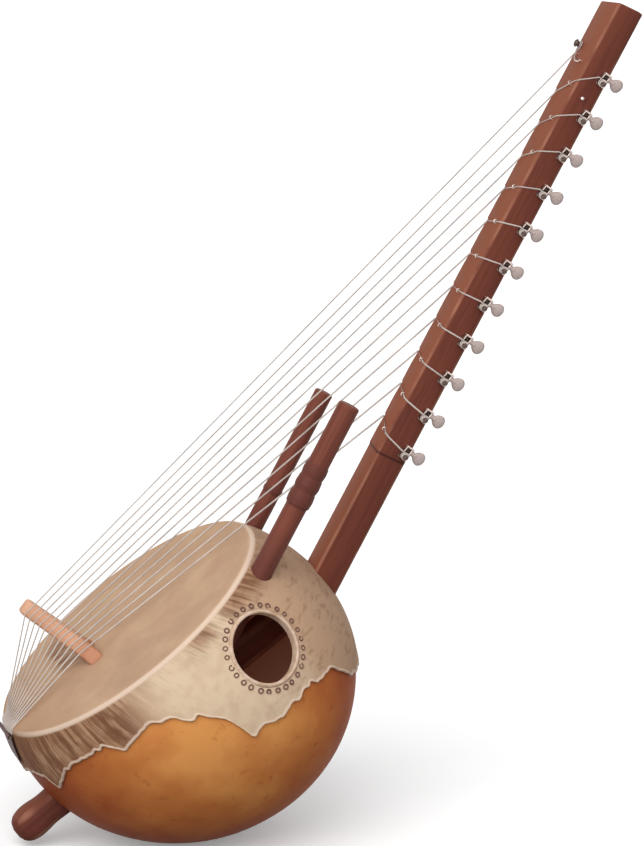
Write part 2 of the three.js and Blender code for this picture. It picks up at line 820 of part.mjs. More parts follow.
const rodPlace = tailPoint(onGourd(rodElevation, rodLift), 0);
const rod = addPiece(
  face,
  'tail_rod',
  'steel',
  lathe(
    [
      [0, -rodLength / 2],
      [rodRadius / 2, -rodLength / 2],
      [rodRadius, rodRadius / 2 - rodLength / 2],
      [rodRadius, rodLength / 2 - rodRadius / 2],
      [rodRadius / 2, rodLength / 2],
      [0, rodLength / 2],
    ],
    postSides,
  ),
);
rod.position.copy(rodPlace);

const tailStrap = () => {
  const section = (inner, outer) =>
    [[inner, 1], [inner, -1], [outer, -1], [outer, 1]].map(([point, side]) =>
      new THREE.Vector3(point.x, (side * strapWidth) / 2, point.z));
  const roundRod = strapWrap.map((degrees) => {
    const angle = rodElevation + degToRad(degrees);
    const at = (radius) =>
      new THREE.Vector3(rodPlace.x - radius * Math.cos(angle), 0, rodPlace.z + radius * Math.sin(angle));
    return section(at(rodRadius + clearance), at(rodRadius + clearance + strapThickness));
  });
  const down = Array.from({ length: strapSteps }, (_, j) => {
    const fold = (rodRadius * 2) / hideRadius;
    const elevation = rodElevation - fold - (strapLength / hideRadius) * (j / (strapSteps - 1));
    const at = (lift) => tailPoint(onGourd(elevation, hideThickness + clearance * 2 + lift), 0);
    return section(at(0), at(strapThickness));
  });
  return loft([...roundRod, ...down]);
};
addPiece(face, 'tail_strap', 'leather', tailStrap());

// Machine heads

const earPlace = (threadTurns * Math.PI * wheelModule) / 2 + wormGap;
const flatSteps = 3;
const holeSides = 8;
const holeShare = 1 / Math.cos(Math.PI / holeSides);

const plateOutline = () => {
  const left = -earPlace - earThickness;
  const right = left + plateLength;
  const bottom = -wheelOffset - wheelPitchRadius;
  const outline = new THREE.Shape();
  outline.moveTo(left + plateCorner, bottom);
  outline.lineTo(right - plateCorner, bottom);
  outline.quadraticCurveTo(right, bottom, right, bottom + plateCorner);
  outline.lineTo(right, plateWormSide - plateCorner);
  outline.quadraticCurveTo(right, plateWormSide, right - plateCorner, plateWormSide);
  outline.lineTo(left + plateCorner, plateWormSide);
  outline.quadraticCurveTo(left, plateWormSide, left, plateWormSide - plateCorner);
  outline.lineTo(left, bottom + plateCorner);
  outline.quadraticCurveTo(left, bottom, left + plateCorner, bottom);
  return outline;
};

const keeperOutline = () => {
  const [inner, outer] = [keeperBend - keeperWidth / 2, keeperBend + keeperWidth / 2];
  const middle = -wheelOffset;
  const outline = new THREE.Shape();
  outline.moveTo(earPlace + earThickness, middle + outer);
  outline.lineTo(0, middle + outer);
  outline.absarc(0, middle, outer, Math.PI / 2, Math.PI * 1.5, false);
  outline.lineTo(keeperTail, middle - outer);
  outline.lineTo(keeperTail, middle - inner);
  outline.lineTo(0, middle - inner);
  outline.absarc(0, middle, inner, Math.PI * 1.5, Math.PI / 2, true);
  outline.lineTo(earPlace + earThickness, middle + inner);
  outline.closePath();
  return outline;
};

const flat = (outline, thickness, level) =>
  new THREE.ExtrudeGeometry(outline, { depth: thickness, bevelEnabled: false, curveSegments: flatSteps })
    .translate(0, 0, level);

const shaftHole = () => {
  const radius = (shaftRadius + clearance / 2) * holeShare;
  const reach = earPlace + earThickness * 2;
  return turnedAlong([[0, -reach], [radius, -reach], [radius, reach], [0, reach]], holeSides)
    .translate(0, 0, wormLevel);
};

const journalHole = () => {
  const radius = (journalRadius + clearance / 2) * holeShare;
  return turned([[0, -overrun], [radius, -overrun], [radius, plateTop + overrun], [0, plateTop + overrun]], holeSides)
    .translate(0, -wheelOffset, -plateTop);
};

// The ears stand clear of the wheel, and the keeper grows out of the rear one above it
const headFrame = () => {
  const sink = plateThickness / 2;
  const wheelTip = wheelPitchRadius + toothRise;
  const low = Math.sqrt(wheelTip ** 2 - earPlace ** 2) - wheelOffset + clearance;
  const keeperTop = keeperLevel + keeperThickness;
  const keeperSide = keeperBend - keeperWidth / 2 - wheelOffset;
  const [rear, end] = [earPlace, earPlace + earThickness];
  const frame = join(
    cut(flat(plateOutline(), plateThickness, clearance), journalHole()),
    block(-end, -rear, low, earWidth / 2, plateTop - sink, plateTop + earHeight - earThickness),
    block(rear, end, low, earWidth / 2, plateTop - sink, keeperTop),
    block(rear, end, keeperSide, earWidth / 2, keeperLevel, keeperTop),
    flat(keeperOutline(), keeperThickness, keeperLevel),
  );
  return cut(frame, shaftHole());
};

// The worm's thread runs round the shaft as a raised pair of points that steps on by one at each ring
const wormStep = (Math.PI * wheelModule) / wormSides;
const wormRings = Math.round(threadTurns * wormSides);

const knobRing = (along, width, thickness) =>
  Array.from({ length: wormSides }, (_, i) => {
    const angle = ((i + 0.5) / wormSides) * Math.PI * 2;
    return new THREE.Vector3(along, (width / 2) * Math.cos(angle), (thickness / 2) * Math.sin(angle) + wormLevel);
  });

const threadRing = (j) => {
  const root = wormPitchRadius - threadRoot;
  const along = (j - wormRings / 2) * wormStep;
  const first = wormSides / 2 - 1 + j - Math.round(wormRings / 2);
  const ends = j === 0 || j === wormRings;
  return Array.from({ length: wormSides }, (_, i) => {
    const step = (((i - first) % wormSides) + wormSides) % wormSides;
    const radius = step < 2 && !ends ? wormRadius : root;
    const angle = ((i + 0.5) / wormSides) * Math.PI * 2;
    return new THREE.Vector3(along, radius * Math.cos(angle), radius * Math.sin(angle) + wormLevel);
  });
};

const tuningKnob = () => {
  const shaft = shaftRadius * 2;
  const front = -earPlace - earThickness * 1.5;
  const wormEnd = (wormRings / 2) * wormStep + wormGap / 2;
  const buttonStart = earPlace + earThickness + shaftNeck;
  return loft([
    knobRing(front, shaft, shaft),
    knobRing(-wormEnd, shaft, shaft),
    ...Array.from({ length: wormRings + 1 }, (_, j) => threadRing(j)),
    knobRing(wormEnd, shaft, shaft),
    knobRing(buttonStart, shaft, shaft),
    ...buttonShares.map(([place, width, thickness]) =>
      knobRing(buttonStart + place * buttonLength, width * buttonWidth, thickness * buttonThickness)),
  ]);
};

// A wheel whose teeth are turned with the worm's lead, with a gap facing the worm
const wheelRing = (level, turn) => {
  const [root, tip] = [wheelPitchRadius - toothRoot, wheelPitchRadius + toothRise];
  const points = [];
  for (let tooth = 0; tooth < wheelTeeth; tooth += 1) {
    const middle = Math.PI / 2 + ((tooth + 0.5) / wheelTeeth) * Math.PI * 2 + turn;
    const corners = [
      [root, -toothBaseWidth / 2 / root],
      [tip, -toothTipWidth / 2 / tip],
      [tip, toothTipWidth / 2 / tip],
      [root, toothBaseWidth / 2 / root],
    ];
    for (const [radius, angle] of corners) {
      points.push(new THREE.Vector3(radius * Math.cos(middle + angle), radius * Math.sin(middle + angle), level));
    }
  }
  return points;
};

const wheelAndPost = () => {
  const leadAngle = Math.atan2(Math.PI * wheelModule, wormPitchRadius * Math.PI * 2);
  const twist = ((wheelFace / 2) * Math.tan(leadAngle)) / wheelPitchRadius;
  const [low, high] = [wormLevel - wheelFace / 2, wormLevel + wheelFace / 2];
  const shoulder = plateTop + clearance;
  const wheel = loft([wheelRing(low, twist), wheelRing(high, -twist)]);
  const post = turned(
    [
      [0, clearance * 2],
      [journalRadius, clearance * 2],
      [journalRadius, shoulder],
      [postRadius, shoulder],
      [postRadius, postTopLevel],
      [postHeadRadius, postTopLevel],
      [postHeadRadius, postTopLevel + postHeadHeight / 2],
      [postRadius, postTopLevel + postHeadHeight],
      [0, postTopLevel + postHeadHeight],
    ],
    wormSides,
  );
  return join(wheel, post);
};

const frameGeometry = headFrame();
const knobGeometry = tuningKnob();
const wheelGeometry = wheelAndPost();

for (let k = 0; k < headCount; k += 1) {
  const head = new THREE.Group();
  headMatrix(k).decompose(head.position, head.quaternion, head.scale);
  neck.add(head);
  const number = String(k + 1).padStart(2, '0');
  addPiece(head, `head_frame_${number}`, 'nickel', frameGeometry);
  addPiece(head, `tuning_knob_${number}`, 'button', knobGeometry);
  addPiece(head, `wheel_post_${number}`, 'nickel', wheelGeometry).position.set(0, -wheelOffset, 0);
}

// The origin is under the middle of the whole instrument, on the floor
kora.updateMatrixWorld(true);
const bounds = new THREE.Box3().setFromObject(kora, true);
const middle = bounds.getCenter(new THREE.Vector3());
kora.position.set(-middle.x, -middle.y, -bounds.min.z);

export default kora;
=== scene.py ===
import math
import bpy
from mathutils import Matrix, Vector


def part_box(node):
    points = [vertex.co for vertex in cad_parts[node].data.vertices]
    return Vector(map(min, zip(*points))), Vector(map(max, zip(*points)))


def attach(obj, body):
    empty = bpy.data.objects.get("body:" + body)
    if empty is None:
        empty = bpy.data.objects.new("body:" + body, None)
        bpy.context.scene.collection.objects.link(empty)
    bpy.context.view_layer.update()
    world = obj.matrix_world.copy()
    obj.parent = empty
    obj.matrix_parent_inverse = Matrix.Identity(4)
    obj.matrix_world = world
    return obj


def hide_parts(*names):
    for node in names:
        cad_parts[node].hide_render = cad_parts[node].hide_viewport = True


bl_info = {
    "name": "Kora",
    "version": (1, 0, 0),
    "blender": (4, 5, 0),
    "location": "View3D > Sidebar > Kora",
    "description": "Dresses the packed model of a kora: gourd, hide, carved wood, strings and machine heads",
    "category": "Object",
}

from functools import partial

import bmesh
import bpy
from bpy.props import FloatProperty, FloatVectorProperty, IntProperty, PointerProperty
from mathutils import Matrix, Vector, noise

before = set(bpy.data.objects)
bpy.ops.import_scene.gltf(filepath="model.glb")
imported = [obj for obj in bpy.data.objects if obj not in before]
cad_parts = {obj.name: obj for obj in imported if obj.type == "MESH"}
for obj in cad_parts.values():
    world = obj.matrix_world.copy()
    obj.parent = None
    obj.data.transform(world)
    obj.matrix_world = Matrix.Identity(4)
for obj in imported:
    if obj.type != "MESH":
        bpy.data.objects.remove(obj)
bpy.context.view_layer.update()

# Sizes below are in millimetres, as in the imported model, and meshes are made in metres
MM = 0.001
CLEARANCE = 0.3
INSTRUMENT = "instrument"
UPRIGHT = Matrix.Identity(4)

# Attitude
FACE_LEAN = math.radians(37.7)
NECK_RISE = math.radians(24.1)

# Gourd and hide
GOURD_RADIUS = 201
GOURD_STRETCH = 209 / GOURD_RADIUS
GOURD_WALL = 8
GOURD_DROP = 97
GOURD_ALONG = -1.7
GOURD_SKEW = 0.079
HIDE_THICKNESS = 3
HIDE_LIFT = CLEARANCE + HIDE_THICKNESS
HIDE_RADIUS = GOURD_RADIUS + CLEARANCE + HIDE_THICKNESS
RIM_ROUND = 9
RIM_LEVEL = -HIDE_THICKNESS - CLEARANCE
RIM_CENTRE = math.sqrt((HIDE_RADIUS - RIM_ROUND) ** 2 - (GOURD_DROP - RIM_ROUND) ** 2)
RIM_END = math.atan2(GOURD_DROP - RIM_ROUND, RIM_CENTRE)
HEM_DROP = 210
# The way from the gourd's middle to its painted lit side; away from it the calabash is painted darker as shade
LIT_SIDE = (0.03, -0.99, -0.08)

# Hem: place from the head end, 0, to the tail, 1, then its depth as a share of HEM_DROP
NEAR_HEM = [
    (0, 0.98), (0.117, 1), (0.174, 0.95), (0.218, 0.83), (0.236, 0.77), (0.291, 0.74), (0.305, 0.7),
    (0.348, 0.724), (0.367, 0.7), (0.396, 0.714), (0.428, 0.68), (0.461, 0.69), (0.468, 0.557),
    (0.475, 0.476), (0.486, 0.43), (0.503, 0.367), (0.522, 0.367), (0.539, 0.286), (0.564, 0.267),
    (0.581, 0.229), (0.602, 0.233), (0.638, 0.271), (0.658, 0.286), (0.671, 0.229), (0.688, 0.205),
    (0.724, 0.22), (0.769, 0.233), (0.798, 0.252), (0.857, 0.362), (0.881, 0.276), (0.939, 0.248), (1, 0.29),
]
FAR_HEM = [
    (0, 0.98), (0.1, 0.98), (0.17, 0.95), (0.23, 0.8), (0.29, 0.74), (0.35, 0.71), (0.41, 0.7), (0.455, 0.66),
    (0.48, 0.46), (0.53, 0.37), (0.58, 0.25), (0.64, 0.28), (0.69, 0.21), (0.75, 0.24), (0.81, 0.25),
    (0.86, 0.34), (0.92, 0.26), (1, 0.29),
]

# Sound hole
HOLE_ALONG = 113
HOLE_DROP = 74
HOLE_RADIUS = 43
BAND_WIDTH = 5.5
BAND_PROUD = 1.4

# Neck
NECK_ENTRY = (204.9, 0, -116.2)
NECK_FOOT = 40
NECK_SEAM = 184
NECK_LENGTH = 795
NECK_WIDTH, NECK_TOP_WIDTH = 50, 68
NECK_DEPTH, NECK_TOP_DEPTH = 38, 34
NECK_BEVEL = 3.5
HEAD_PROUD = 0.8
TOP_CROWN = 2.5
TOP_SLANT = 15
NOTCH_LENGTH = 26
PIN_ALONG = 679

# Tail spike
SPIKE_DROP = 117
SPIKE_WIDTH, SPIKE_DEPTH, SPIKE_BEVEL, SPIKE_EASE = 42, 40, 9, 3.2
STUB_END, STUB_LENGTH = 263, 67
SPIKE_HEAD_END = 182
STUB_SHARES = [(0, 0.3), (0.04, 0.62), (0.13, 0.86), (0.28, 0.99), (0.45, 1), (0.68, 0.93), (1, 0.96)]

# Hand posts: radius, top, place beside the neck, then swellings as place and radius shares
POST_FOOT = 148
POST_TOP_ROUND = 3
NEAR_POST = {
    "radius": 13.5,
    "top": 232,
    "place": (0, -100, 102.3),
    "shares": [
        (0.408, 1), (0.416, 1.12), (0.45, 1.17), (0.486, 1.12), (0.492, 1.05), (0.527, 1.15),
        (0.566, 1.1), (0.572, 1.04), (0.61, 1.11), (0.642, 1.08), (0.648, 1),
    ],
}
FAR_POST = {
    "radius": 11.5,
    "top": 208,
    "place": (0, 80, 81),
    "shares": [(0.335, 1), (0.34, 1.06), (0.36, 1.06), (0.365, 1)],
}

# Bridge
BRIDGE_ALONG = 54.5
BRIDGE_LEAN = math.radians(14.4)
BRIDGE_HEIGHT = 106.5
BRIDGE_THICKNESS = 19
BRIDGE_TOP, BRIDGE_WAIST, BRIDGE_FOOT = 22, 46, 66
BRIDGE_CORNER = 9
BRIDGE_FOOT_HEIGHT = 13
BRIDGE_ARCH, BRIDGE_ARCH_HEIGHT = 32, 9
BRIDGE_ROUND = 4.5

# Strings. A played string is thicker than its drawn filament, by its wax and fluff
STRING_COUNT = 12
TREBLE, BASS = 1.3, 1.9
STRING_FRAY = 0.14
LOWEST_STRING, HIGHEST_STRING = 18, 98
ANCHORED_ARRIVAL, HIGHEST_ARRIVAL, LOWEST_ARRIVAL = 720, 667, 222
ARRIVAL_SIDE = 17
TAIL_SPREAD = 58
POST_TURNS, TURN_GAP = 2, 0.7
ANCHOR_RADIUS, ANCHOR_HEIGHT, ANCHOR_HEAD_RADIUS, ANCHOR_SIDE, ANCHOR_TURNS = 3.4, 10, 5, 16, 1.25

# Tail rod and strap
ROD_RADIUS, ROD_LENGTH = 1.6, 70
ROD_ELEVATION = math.radians(26)
STRAP_WIDTH, STRAP_THICKNESS, STRAP_LENGTH = 60, 1.3, 34

# Machine heads
HEAD_COUNT = 11
HEAD_PITCH = 51.15
TOP_HEAD = 714
HEAD_INSET = 7.4
HEAD_TILT = math.radians(12)
PLATE_THICKNESS = 1.2
EAR_THICKNESS = 1.2
BROKEN_EDGE = 0.22
WHEEL_TEETH, WHEEL_MODULE, WHEEL_FACE, WHEEL_GAP = 12, 0.85, 3, 0.4
TOOTH_RISE, TOOTH_ROOT, TOOTH_TIP, TOOTH_BASE = 0.6, 0.9, 0.7, 1.5
WORM_PITCH_RADIUS, THREAD_RISE, THREAD_ROOT, THREAD_TURNS, WORM_GAP = 2.4, 0.7, 0.8, 1.75, 0.9
SHAFT_RADIUS, SHAFT_NECK = 1.4, 4
BUTTON_LENGTH, BUTTON_WIDTH, BUTTON_THICKNESS = 17, 17, 8.5
# Shares of a button's width and thickness along it, in even steps, and where its round end begins
BUTTON_SHARES = [(0, 0.3, 0.5), (0.2, 0.66, 0.78), (0.4, 0.92, 0.94), (0.6, 1, 1), (0.8, 1, 1), (1, 1, 1)]
BUTTON_END = 0.6
COLLAR_RADII, COLLAR_REACH = (2.6, 4.2), 0.2
POST_RADIUS, JOURNAL_RADIUS, POST_HEAD_RADIUS, POST_HEAD_HEIGHT = 2.4, 1.5, 3.3, 1.4
KEEPER_THICKNESS, KEEPER_BEND = 1.2, 3.9


def linear(hex_colour):
    """An sRGB hex colour as linear RGBA."""
    parts = [int(hex_colour[i : i + 2], 16) / 255 for i in (1, 3, 5)]
    return tuple(c / 12.92 if c <= 0.04045 else ((c + 0.055) / 1.055) ** 2.4 for c in parts) + (1.0,)


def lerp(a, b, share):
    return a + (b - a) * share


def shares(count):
    """Even steps from 0 to 1."""
    return [i / count for i in range(count + 1)]


def angles(count):
    """Even steps round a circle."""
    return [i / count * math.tau for i in range(count)]


def between(pairs, place):
    """The value at a place, on straight lines between pairs of place and value."""
    for (p, a), (q, b) in zip(pairs, pairs[1:]):
        if place <= q:
            return lerp(a, b, max(0, (place - p) / (q - p)))
    return pairs[-1][1]


def eased(rows, place):
    """Rows of place and sizes, read on a smooth curve through them."""
    last = len(rows) - 1
    i = max(0, min(last - 1, sum(row[0] <= place for row in rows) - 1))
    share = (place - rows[i][0]) / (rows[i + 1][0] - rows[i][0])
    around = [rows[min(max(i + step, 0), last)][1:] for step in (-1, 0, 1, 2)]
    sizes = []
    for a, b, c, d in zip(*around):
        bend, twist = 2 * a - 5 * b + 4 * c - d, 3 * b - a - 3 * c + d
        sizes.append(0.5 * (2 * b + (c - a) * share + bend * share**2 + twist * share**3))
    return sizes


# Frames

def body_point(x, y, z):
    """A point of the round body in the face frame, after its stretch and skew."""
    return Vector((GOURD_STRETCH * x - GOURD_SKEW * z + GOURD_ALONG, y, z))


def on_gourd(elevation, lift):
    """Radius and level of a place over the gourd."""
    reach = GOURD_RADIUS + lift
    return reach * math.cos(elevation), reach * math.sin(elevation) - GOURD_DROP


def on_rim(angle, lift):
    """Radius and level of a place over the hide's rim."""
    reach = RIM_ROUND + lift
    return RIM_CENTRE + reach * math.cos(angle), reach * math.sin(angle) - RIM_ROUND


def tail_point(spot, across):
    radius, level = spot
    return body_point(-math.sqrt(radius**2 - across**2), -across, level)


ROD_PLACE = tail_point(on_gourd(ROD_ELEVATION, CLEARANCE * 2 + HIDE_THICKNESS + ROD_RADIUS), 0)


def face_frame():
    """The face frame is found from the rod at the tail, whose middle is known in it."""
    turn = Matrix.Rotation(-FACE_LEAN, 4, "Y")
    low, high = (Vector(corner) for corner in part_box("tail_rod"))
    return Matrix.Translation((low + high) / 2 - turn @ (ROD_PLACE * MM)) @ turn


def shift(x, y, z):
    return Matrix.Translation(Vector((x, y, z)) * MM)


def in_millimetres(matrix, point):
    """A matrix of metres used on a point of millimetres."""
    return (matrix @ (point * MM)) / MM


FACE = face_frame()
NECK = FACE @ shift(*NECK_ENTRY) @ Matrix.Rotation(-NECK_RISE, 4, "Y")


def sound_hole_frame():
    along = (HOLE_ALONG - GOURD_ALONG - GOURD_SKEW * HOLE_DROP) / (GOURD_RADIUS * GOURD_STRETCH)
    up = (GOURD_DROP - HOLE_DROP) / GOURD_RADIUS
    out = math.sqrt(1 - along**2 - up**2)
    middle = body_point(along * GOURD_RADIUS, -out * GOURD_RADIUS, -HOLE_DROP)
    square = Matrix(((GOURD_STRETCH, 0, -GOURD_SKEW), (0, 1, 0), (0, 0, 1))).inverted().transposed()
    normal = (square @ Vector((along, -out, up))).normalized()
    turn = Vector((0, 0, 1)).rotation_difference(normal).to_matrix().to_4x4()
    return FACE @ shift(*middle) @ turn


def head_share(along):
    """How far up the neck's upper length a place is."""
    return max(0, (along - NECK_SEAM) / (NECK_LENGTH - NECK_SEAM))


def neck_width(along):
    return lerp(NECK_WIDTH, NECK_TOP_WIDTH, head_share(along))


def neck_depth(along):
    return lerp(NECK_DEPTH, NECK_TOP_DEPTH, head_share(along))


def neck_front(along):
    return neck_depth(along) / 2 + (HEAD_PROUD if along > NECK_SEAM else 0)


WHEEL_RADIUS = WHEEL_TEETH * WHEEL_MODULE / 2
WHEEL_OFFSET = WHEEL_RADIUS + WORM_PITCH_RADIUS
PLATE_TOP = CLEARANCE + PLATE_THICKNESS
WORM_RADIUS = WORM_PITCH_RADIUS + THREAD_RISE
WORM_LEVEL = PLATE_TOP + WORM_RADIUS + WHEEL_GAP
KEEPER_LEVEL = WORM_LEVEL + WHEEL_FACE / 2 + WHEEL_GAP
WINDING_LEVEL = KEEPER_LEVEL + KEEPER_THICKNESS + WHEEL_GAP + BASS / 2
POST_TOP = WINDING_LEVEL + (BASS + TURN_GAP) * POST_TURNS + BASS / 2 + WHEEL_GAP
EAR_PLACE = THREAD_TURNS * math.pi * WHEEL_MODULE / 2 + WORM_GAP
BUTTON_START = EAR_PLACE + EAR_THICKNESS + SHAFT_NECK


def head_frame(k):
    """A machine head's frame: X along the worm to the button, Y to the neck's top, Z out of the near side."""
    along = TOP_HEAD - k * HEAD_PITCH
    taper = (NECK_TOP_WIDTH - NECK_WIDTH) / 2 / (NECK_LENGTH - NECK_SEAM)
    out = Vector((-taper, -1, 0)).normalized()
    worm = Vector((-math.sin(HEAD_TILT), 0, -math.cos(HEAD_TILT)))
    worm = (worm - out * worm.dot(out)).normalized()
    turn = Matrix((worm, out.cross(worm), out)).transposed().to_4x4()
    return NECK @ shift(along, -neck_width(along) / 2, HEAD_INSET - neck_depth(along) / 2) @ turn


# Meshes

def smoothed(mesh, sharp=40):
    """Shades a mesh smooth, but for the edges that turn by more than an angle in degrees."""
    mesh.shade_smooth()
    mesh.set_sharp_from_angle(angle=math.radians(sharp))
    return mesh


def welded(name, made):
    """The mesh of a bmesh, with its doubled points joined and its faces turned outwards."""
    bmesh.ops.remove_doubles(made, verts=made.verts, dist=MM / 1000)
    bmesh.ops.recalc_face_normals(made, faces=made.faces)
    mesh = bpy.data.meshes.new(name)
    made.to_mesh(mesh)
    made.free()
    return mesh


def new_mesh(name, part, sharp=40):
    """A mesh from points in millimetres and faces."""
    points, faces = part
    made = bmesh.new()
    verts = [made.verts.new(Vector(point) * MM) for point in points]
    for face in faces:
        made.faces.new([verts[i] for i in face])
    return smoothed(welded(name, made), sharp)


def new_object(name, data, place=UPRIGHT):
    obj = bpy.data.objects.new(name, data)
    bpy.context.scene.collection.objects.link(obj)
    obj.matrix_world = place
    return obj


def solid(name, part, place=UPRIGHT, sharp=40):
    return new_object(name, new_mesh(name, part, sharp), place)


def settled(obj):
    """The object with its modifiers applied."""
    graph = bpy.context.evaluated_depsgraph_get()
    mesh = bpy.data.meshes.new_from_object(obj.evaluated_get(graph))
    obj.modifiers.clear()
    obj.data = mesh
    return obj


def rounded(obj, width, segments, over):
    """Rounds the edges that turn by more than an angle in degrees."""
    bevel = obj.modifiers.new("rounding", "BEVEL")
    bevel.width, bevel.segments = width * MM, segments
    bevel.limit_method, bevel.angle_limit = "ANGLE", math.radians(over)
    return settled(obj)


def cut_away(obj, cutters, sharp=40):
    """Cuts each cutter out of the object, then takes the cutters away."""
    for cutter in cutters:
        cutting = obj.modifiers.new("cut", "BOOLEAN")
        cutting.object, cutting.operation, cutting.solver = cutter, "DIFFERENCE", "EXACT"
    settled(obj)
    for cutter in cutters:
        bpy.data.objects.remove(cutter)
    if not obj.data.polygons:
        raise RuntimeError(f"nothing is left of {obj.name} after its cuts")
    smoothed(obj.data, sharp)
    return obj


def dress(obj, material, body=INSTRUMENT, nodes=()):
    """Gives a finished piece its material and its body, and hides the CAD nodes that it stands for."""
    obj.data.materials.clear()
    obj.data.materials.append(material)
    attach(obj, body)
    if nodes:
        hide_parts(*nodes)
    return obj


# A part is a pair of points in millimetres and faces

def loft(rings, caps=True):
    """The skin over rings of equal counts."""
    count = len(rings[0])
    last = (len(rings) - 1) * count
    faces = []
    for start in range(0, last, count):
        for i in range(count):
            a, b = start + i, start + (i + 1) % count
            faces.append((a, b, b + count, a + count))
    if caps:
        faces += [tuple(reversed(range(count))), tuple(range(last, last + count))]
    return [point for ring in rings for point in ring], faces


def revolve(profile, sides, about="Z"):
    """A profile of radius and height turned about an axis.

    Its ends are on the axis, or it comes back to its start."""
    rings = []
    for radius, height in profile:
        ring = []
        for angle in angles(sides):
            across, up = radius * math.cos(angle), radius * math.sin(angle)
            ring.append({"X": (height, across, up), "Y": (up, height, across), "Z": (across, up, height)}[about])
        rings.append(ring)
    return loft(rings, caps=False)


def tube(points, radius, sides=10, closed=False):
    """A round tube along points, with its section carried on without twist."""
    path = [Vector(point) for point in points]
    before, after = path[-1:] + path[:-1], path[1:] + path[:1]
    if not closed:
        before[0], after[-1] = path[0], path[-1]
    rings, normal = [], None
    for here, last, following in zip(path, before, after):
        tangent = (following - last).normalized()
        if normal is None:
            normal = tangent.orthogonal()
        normal = (normal - tangent * normal.dot(tangent)).normalized()
        side = tangent.cross(normal)
        rings.append([
            here + normal * radius * math.cos(angle) + side * radius * math.sin(angle) for angle in angles(sides)
        ])
    return loft(rings + rings[:1], caps=False) if closed else loft(rings)


def dome(radius, low, rise, steps):
    """A profile from the edge of a dome, which isn't in it, up to the axis."""
    return [
        (radius * math.cos(share * math.pi / 2), low + rise * math.sin(share * math.pi / 2))
        for share in shares(steps)[1:]
    ]


def merged(*parts):
    points, faces = [], []
    for more, those in parts:
        faces += [tuple(i + len(points) for i in face) for face in those]
        points += more
    return points, faces


def moved(part, matrix):
    points, faces = part
    return [matrix @ Vector(point) for point in points], faces


def box_part(low, high):
    corners = [(x, y, z) for z in (low[2], high[2]) for y in (low[1], high[1]) for x in (low[0], high[0])]
    return corners, [(0, 2, 3, 1), (4, 5, 7, 6), (0, 1, 5, 4), (2, 6, 7, 3), (0, 4, 6, 2), (1, 3, 7, 5)]


def bar_ring(along, width, depth, bevel, raised=0, ease=0.8):
    """A bevelled section across X whose corners are eased."""
    w, d = width / 2, depth / 2
    corners = [
        (w, d - bevel), (w - bevel, d), (bevel - w, d), (-w, d - bevel),
        (-w, bevel - d), (bevel - w, -d), (w - bevel, -d), (w, bevel - d),
    ]
    ring = []
    for i, corner in enumerate(corners):
        here = Vector(corner)
        for other in (Vector(corners[i - 1]), Vector(corners[(i + 1) % len(corners)])):
            point = here + (other - here).normalized() * ease
            ring.append((along, point.x, point.y + raised))
    return ring


def carved(along, seed, amount):
    """How much a hand tool has taken off at a place along a piece."""
    return amount * (0.5 + 0.5 * noise.noise(Vector((along / 38, seed, seed * 2.3))))


# Materials

def feed(tree, node, inputs):
    """Links or sets a node's inputs, which are given by name or in their order."""
    for name, value in inputs.items() if isinstance(inputs, dict) else enumerate(inputs):
        if isinstance(value, bpy.types.NodeSocket):
            tree.links.new(value, node.inputs[name])
        else:
            node.inputs[name].default_value = value


def add(tree, kind, inputs=(), output=0, stops=(), **settings):
    """Adds a node with its settings and inputs, and gives back one of its outputs."""
    node = tree.nodes.new("ShaderNode" + kind)
    for name, value in settings.items():
        setattr(node, name, value)
    if stops:
        ramp = node.color_ramp.elements
        while len(ramp) < len(stops):
            ramp.new(0.5)
        for stop, (place, colour) in zip(ramp, stops):
            stop.position, stop.color = place, colour
    feed(tree, node, inputs)
    return node.outputs[output] if node.outputs else node


def started(name):
    """A new material, and what adds a node to it."""
    material = bpy.data.materials.new(name)
    material.use_nodes = True
    return material, partial(add, material.node_tree)


def finished(material, **inputs):
    """Feeds the shader's own sockets, whose names have _ for a space here."""
    tree = material.node_tree
    feed(tree, tree.nodes["Principled BSDF"], {name.replace("_", " "): value for name, value in inputs.items()})
    return material


def shared(node, *parts, ease="LINEAR"):
    """The product of its parts: sockets, numbers, and tuples of a socket, its two ends and the most that it gives."""
    product = None
    for part in parts:
        if isinstance(part, tuple):
            value, low, high, *most = part
            part = node("MapRange", (value, low, high, 0, *most), interpolation_type=ease)
        product = part if product is None else node("Math", (product, part), operation="MULTIPLY")
    return product


def coated(node, base, *coats):
    """A base colour under coats, each of them the share that it covers and its colour."""
    for share, colour in coats:
        base = node("Mix", {0: share, 6: base, 7: colour}, 2, data_type="RGBA")
    return base


def embossed(node, *layers):
    """The normal after layers of height, strength and depth in metres. A negative strength cuts inwards."""
    under = {}
    for height, strength, depth in layers:
        inputs = {"Height": height, "Strength": abs(strength), "Distance": depth, **under}
        under = {"Normal": node("Bump", inputs, invert=strength < 0)}
    return under["Normal"]


BLACK, WHITE = (0, 0, 0, 1), (1, 1, 1, 1)
FINISHES = {}


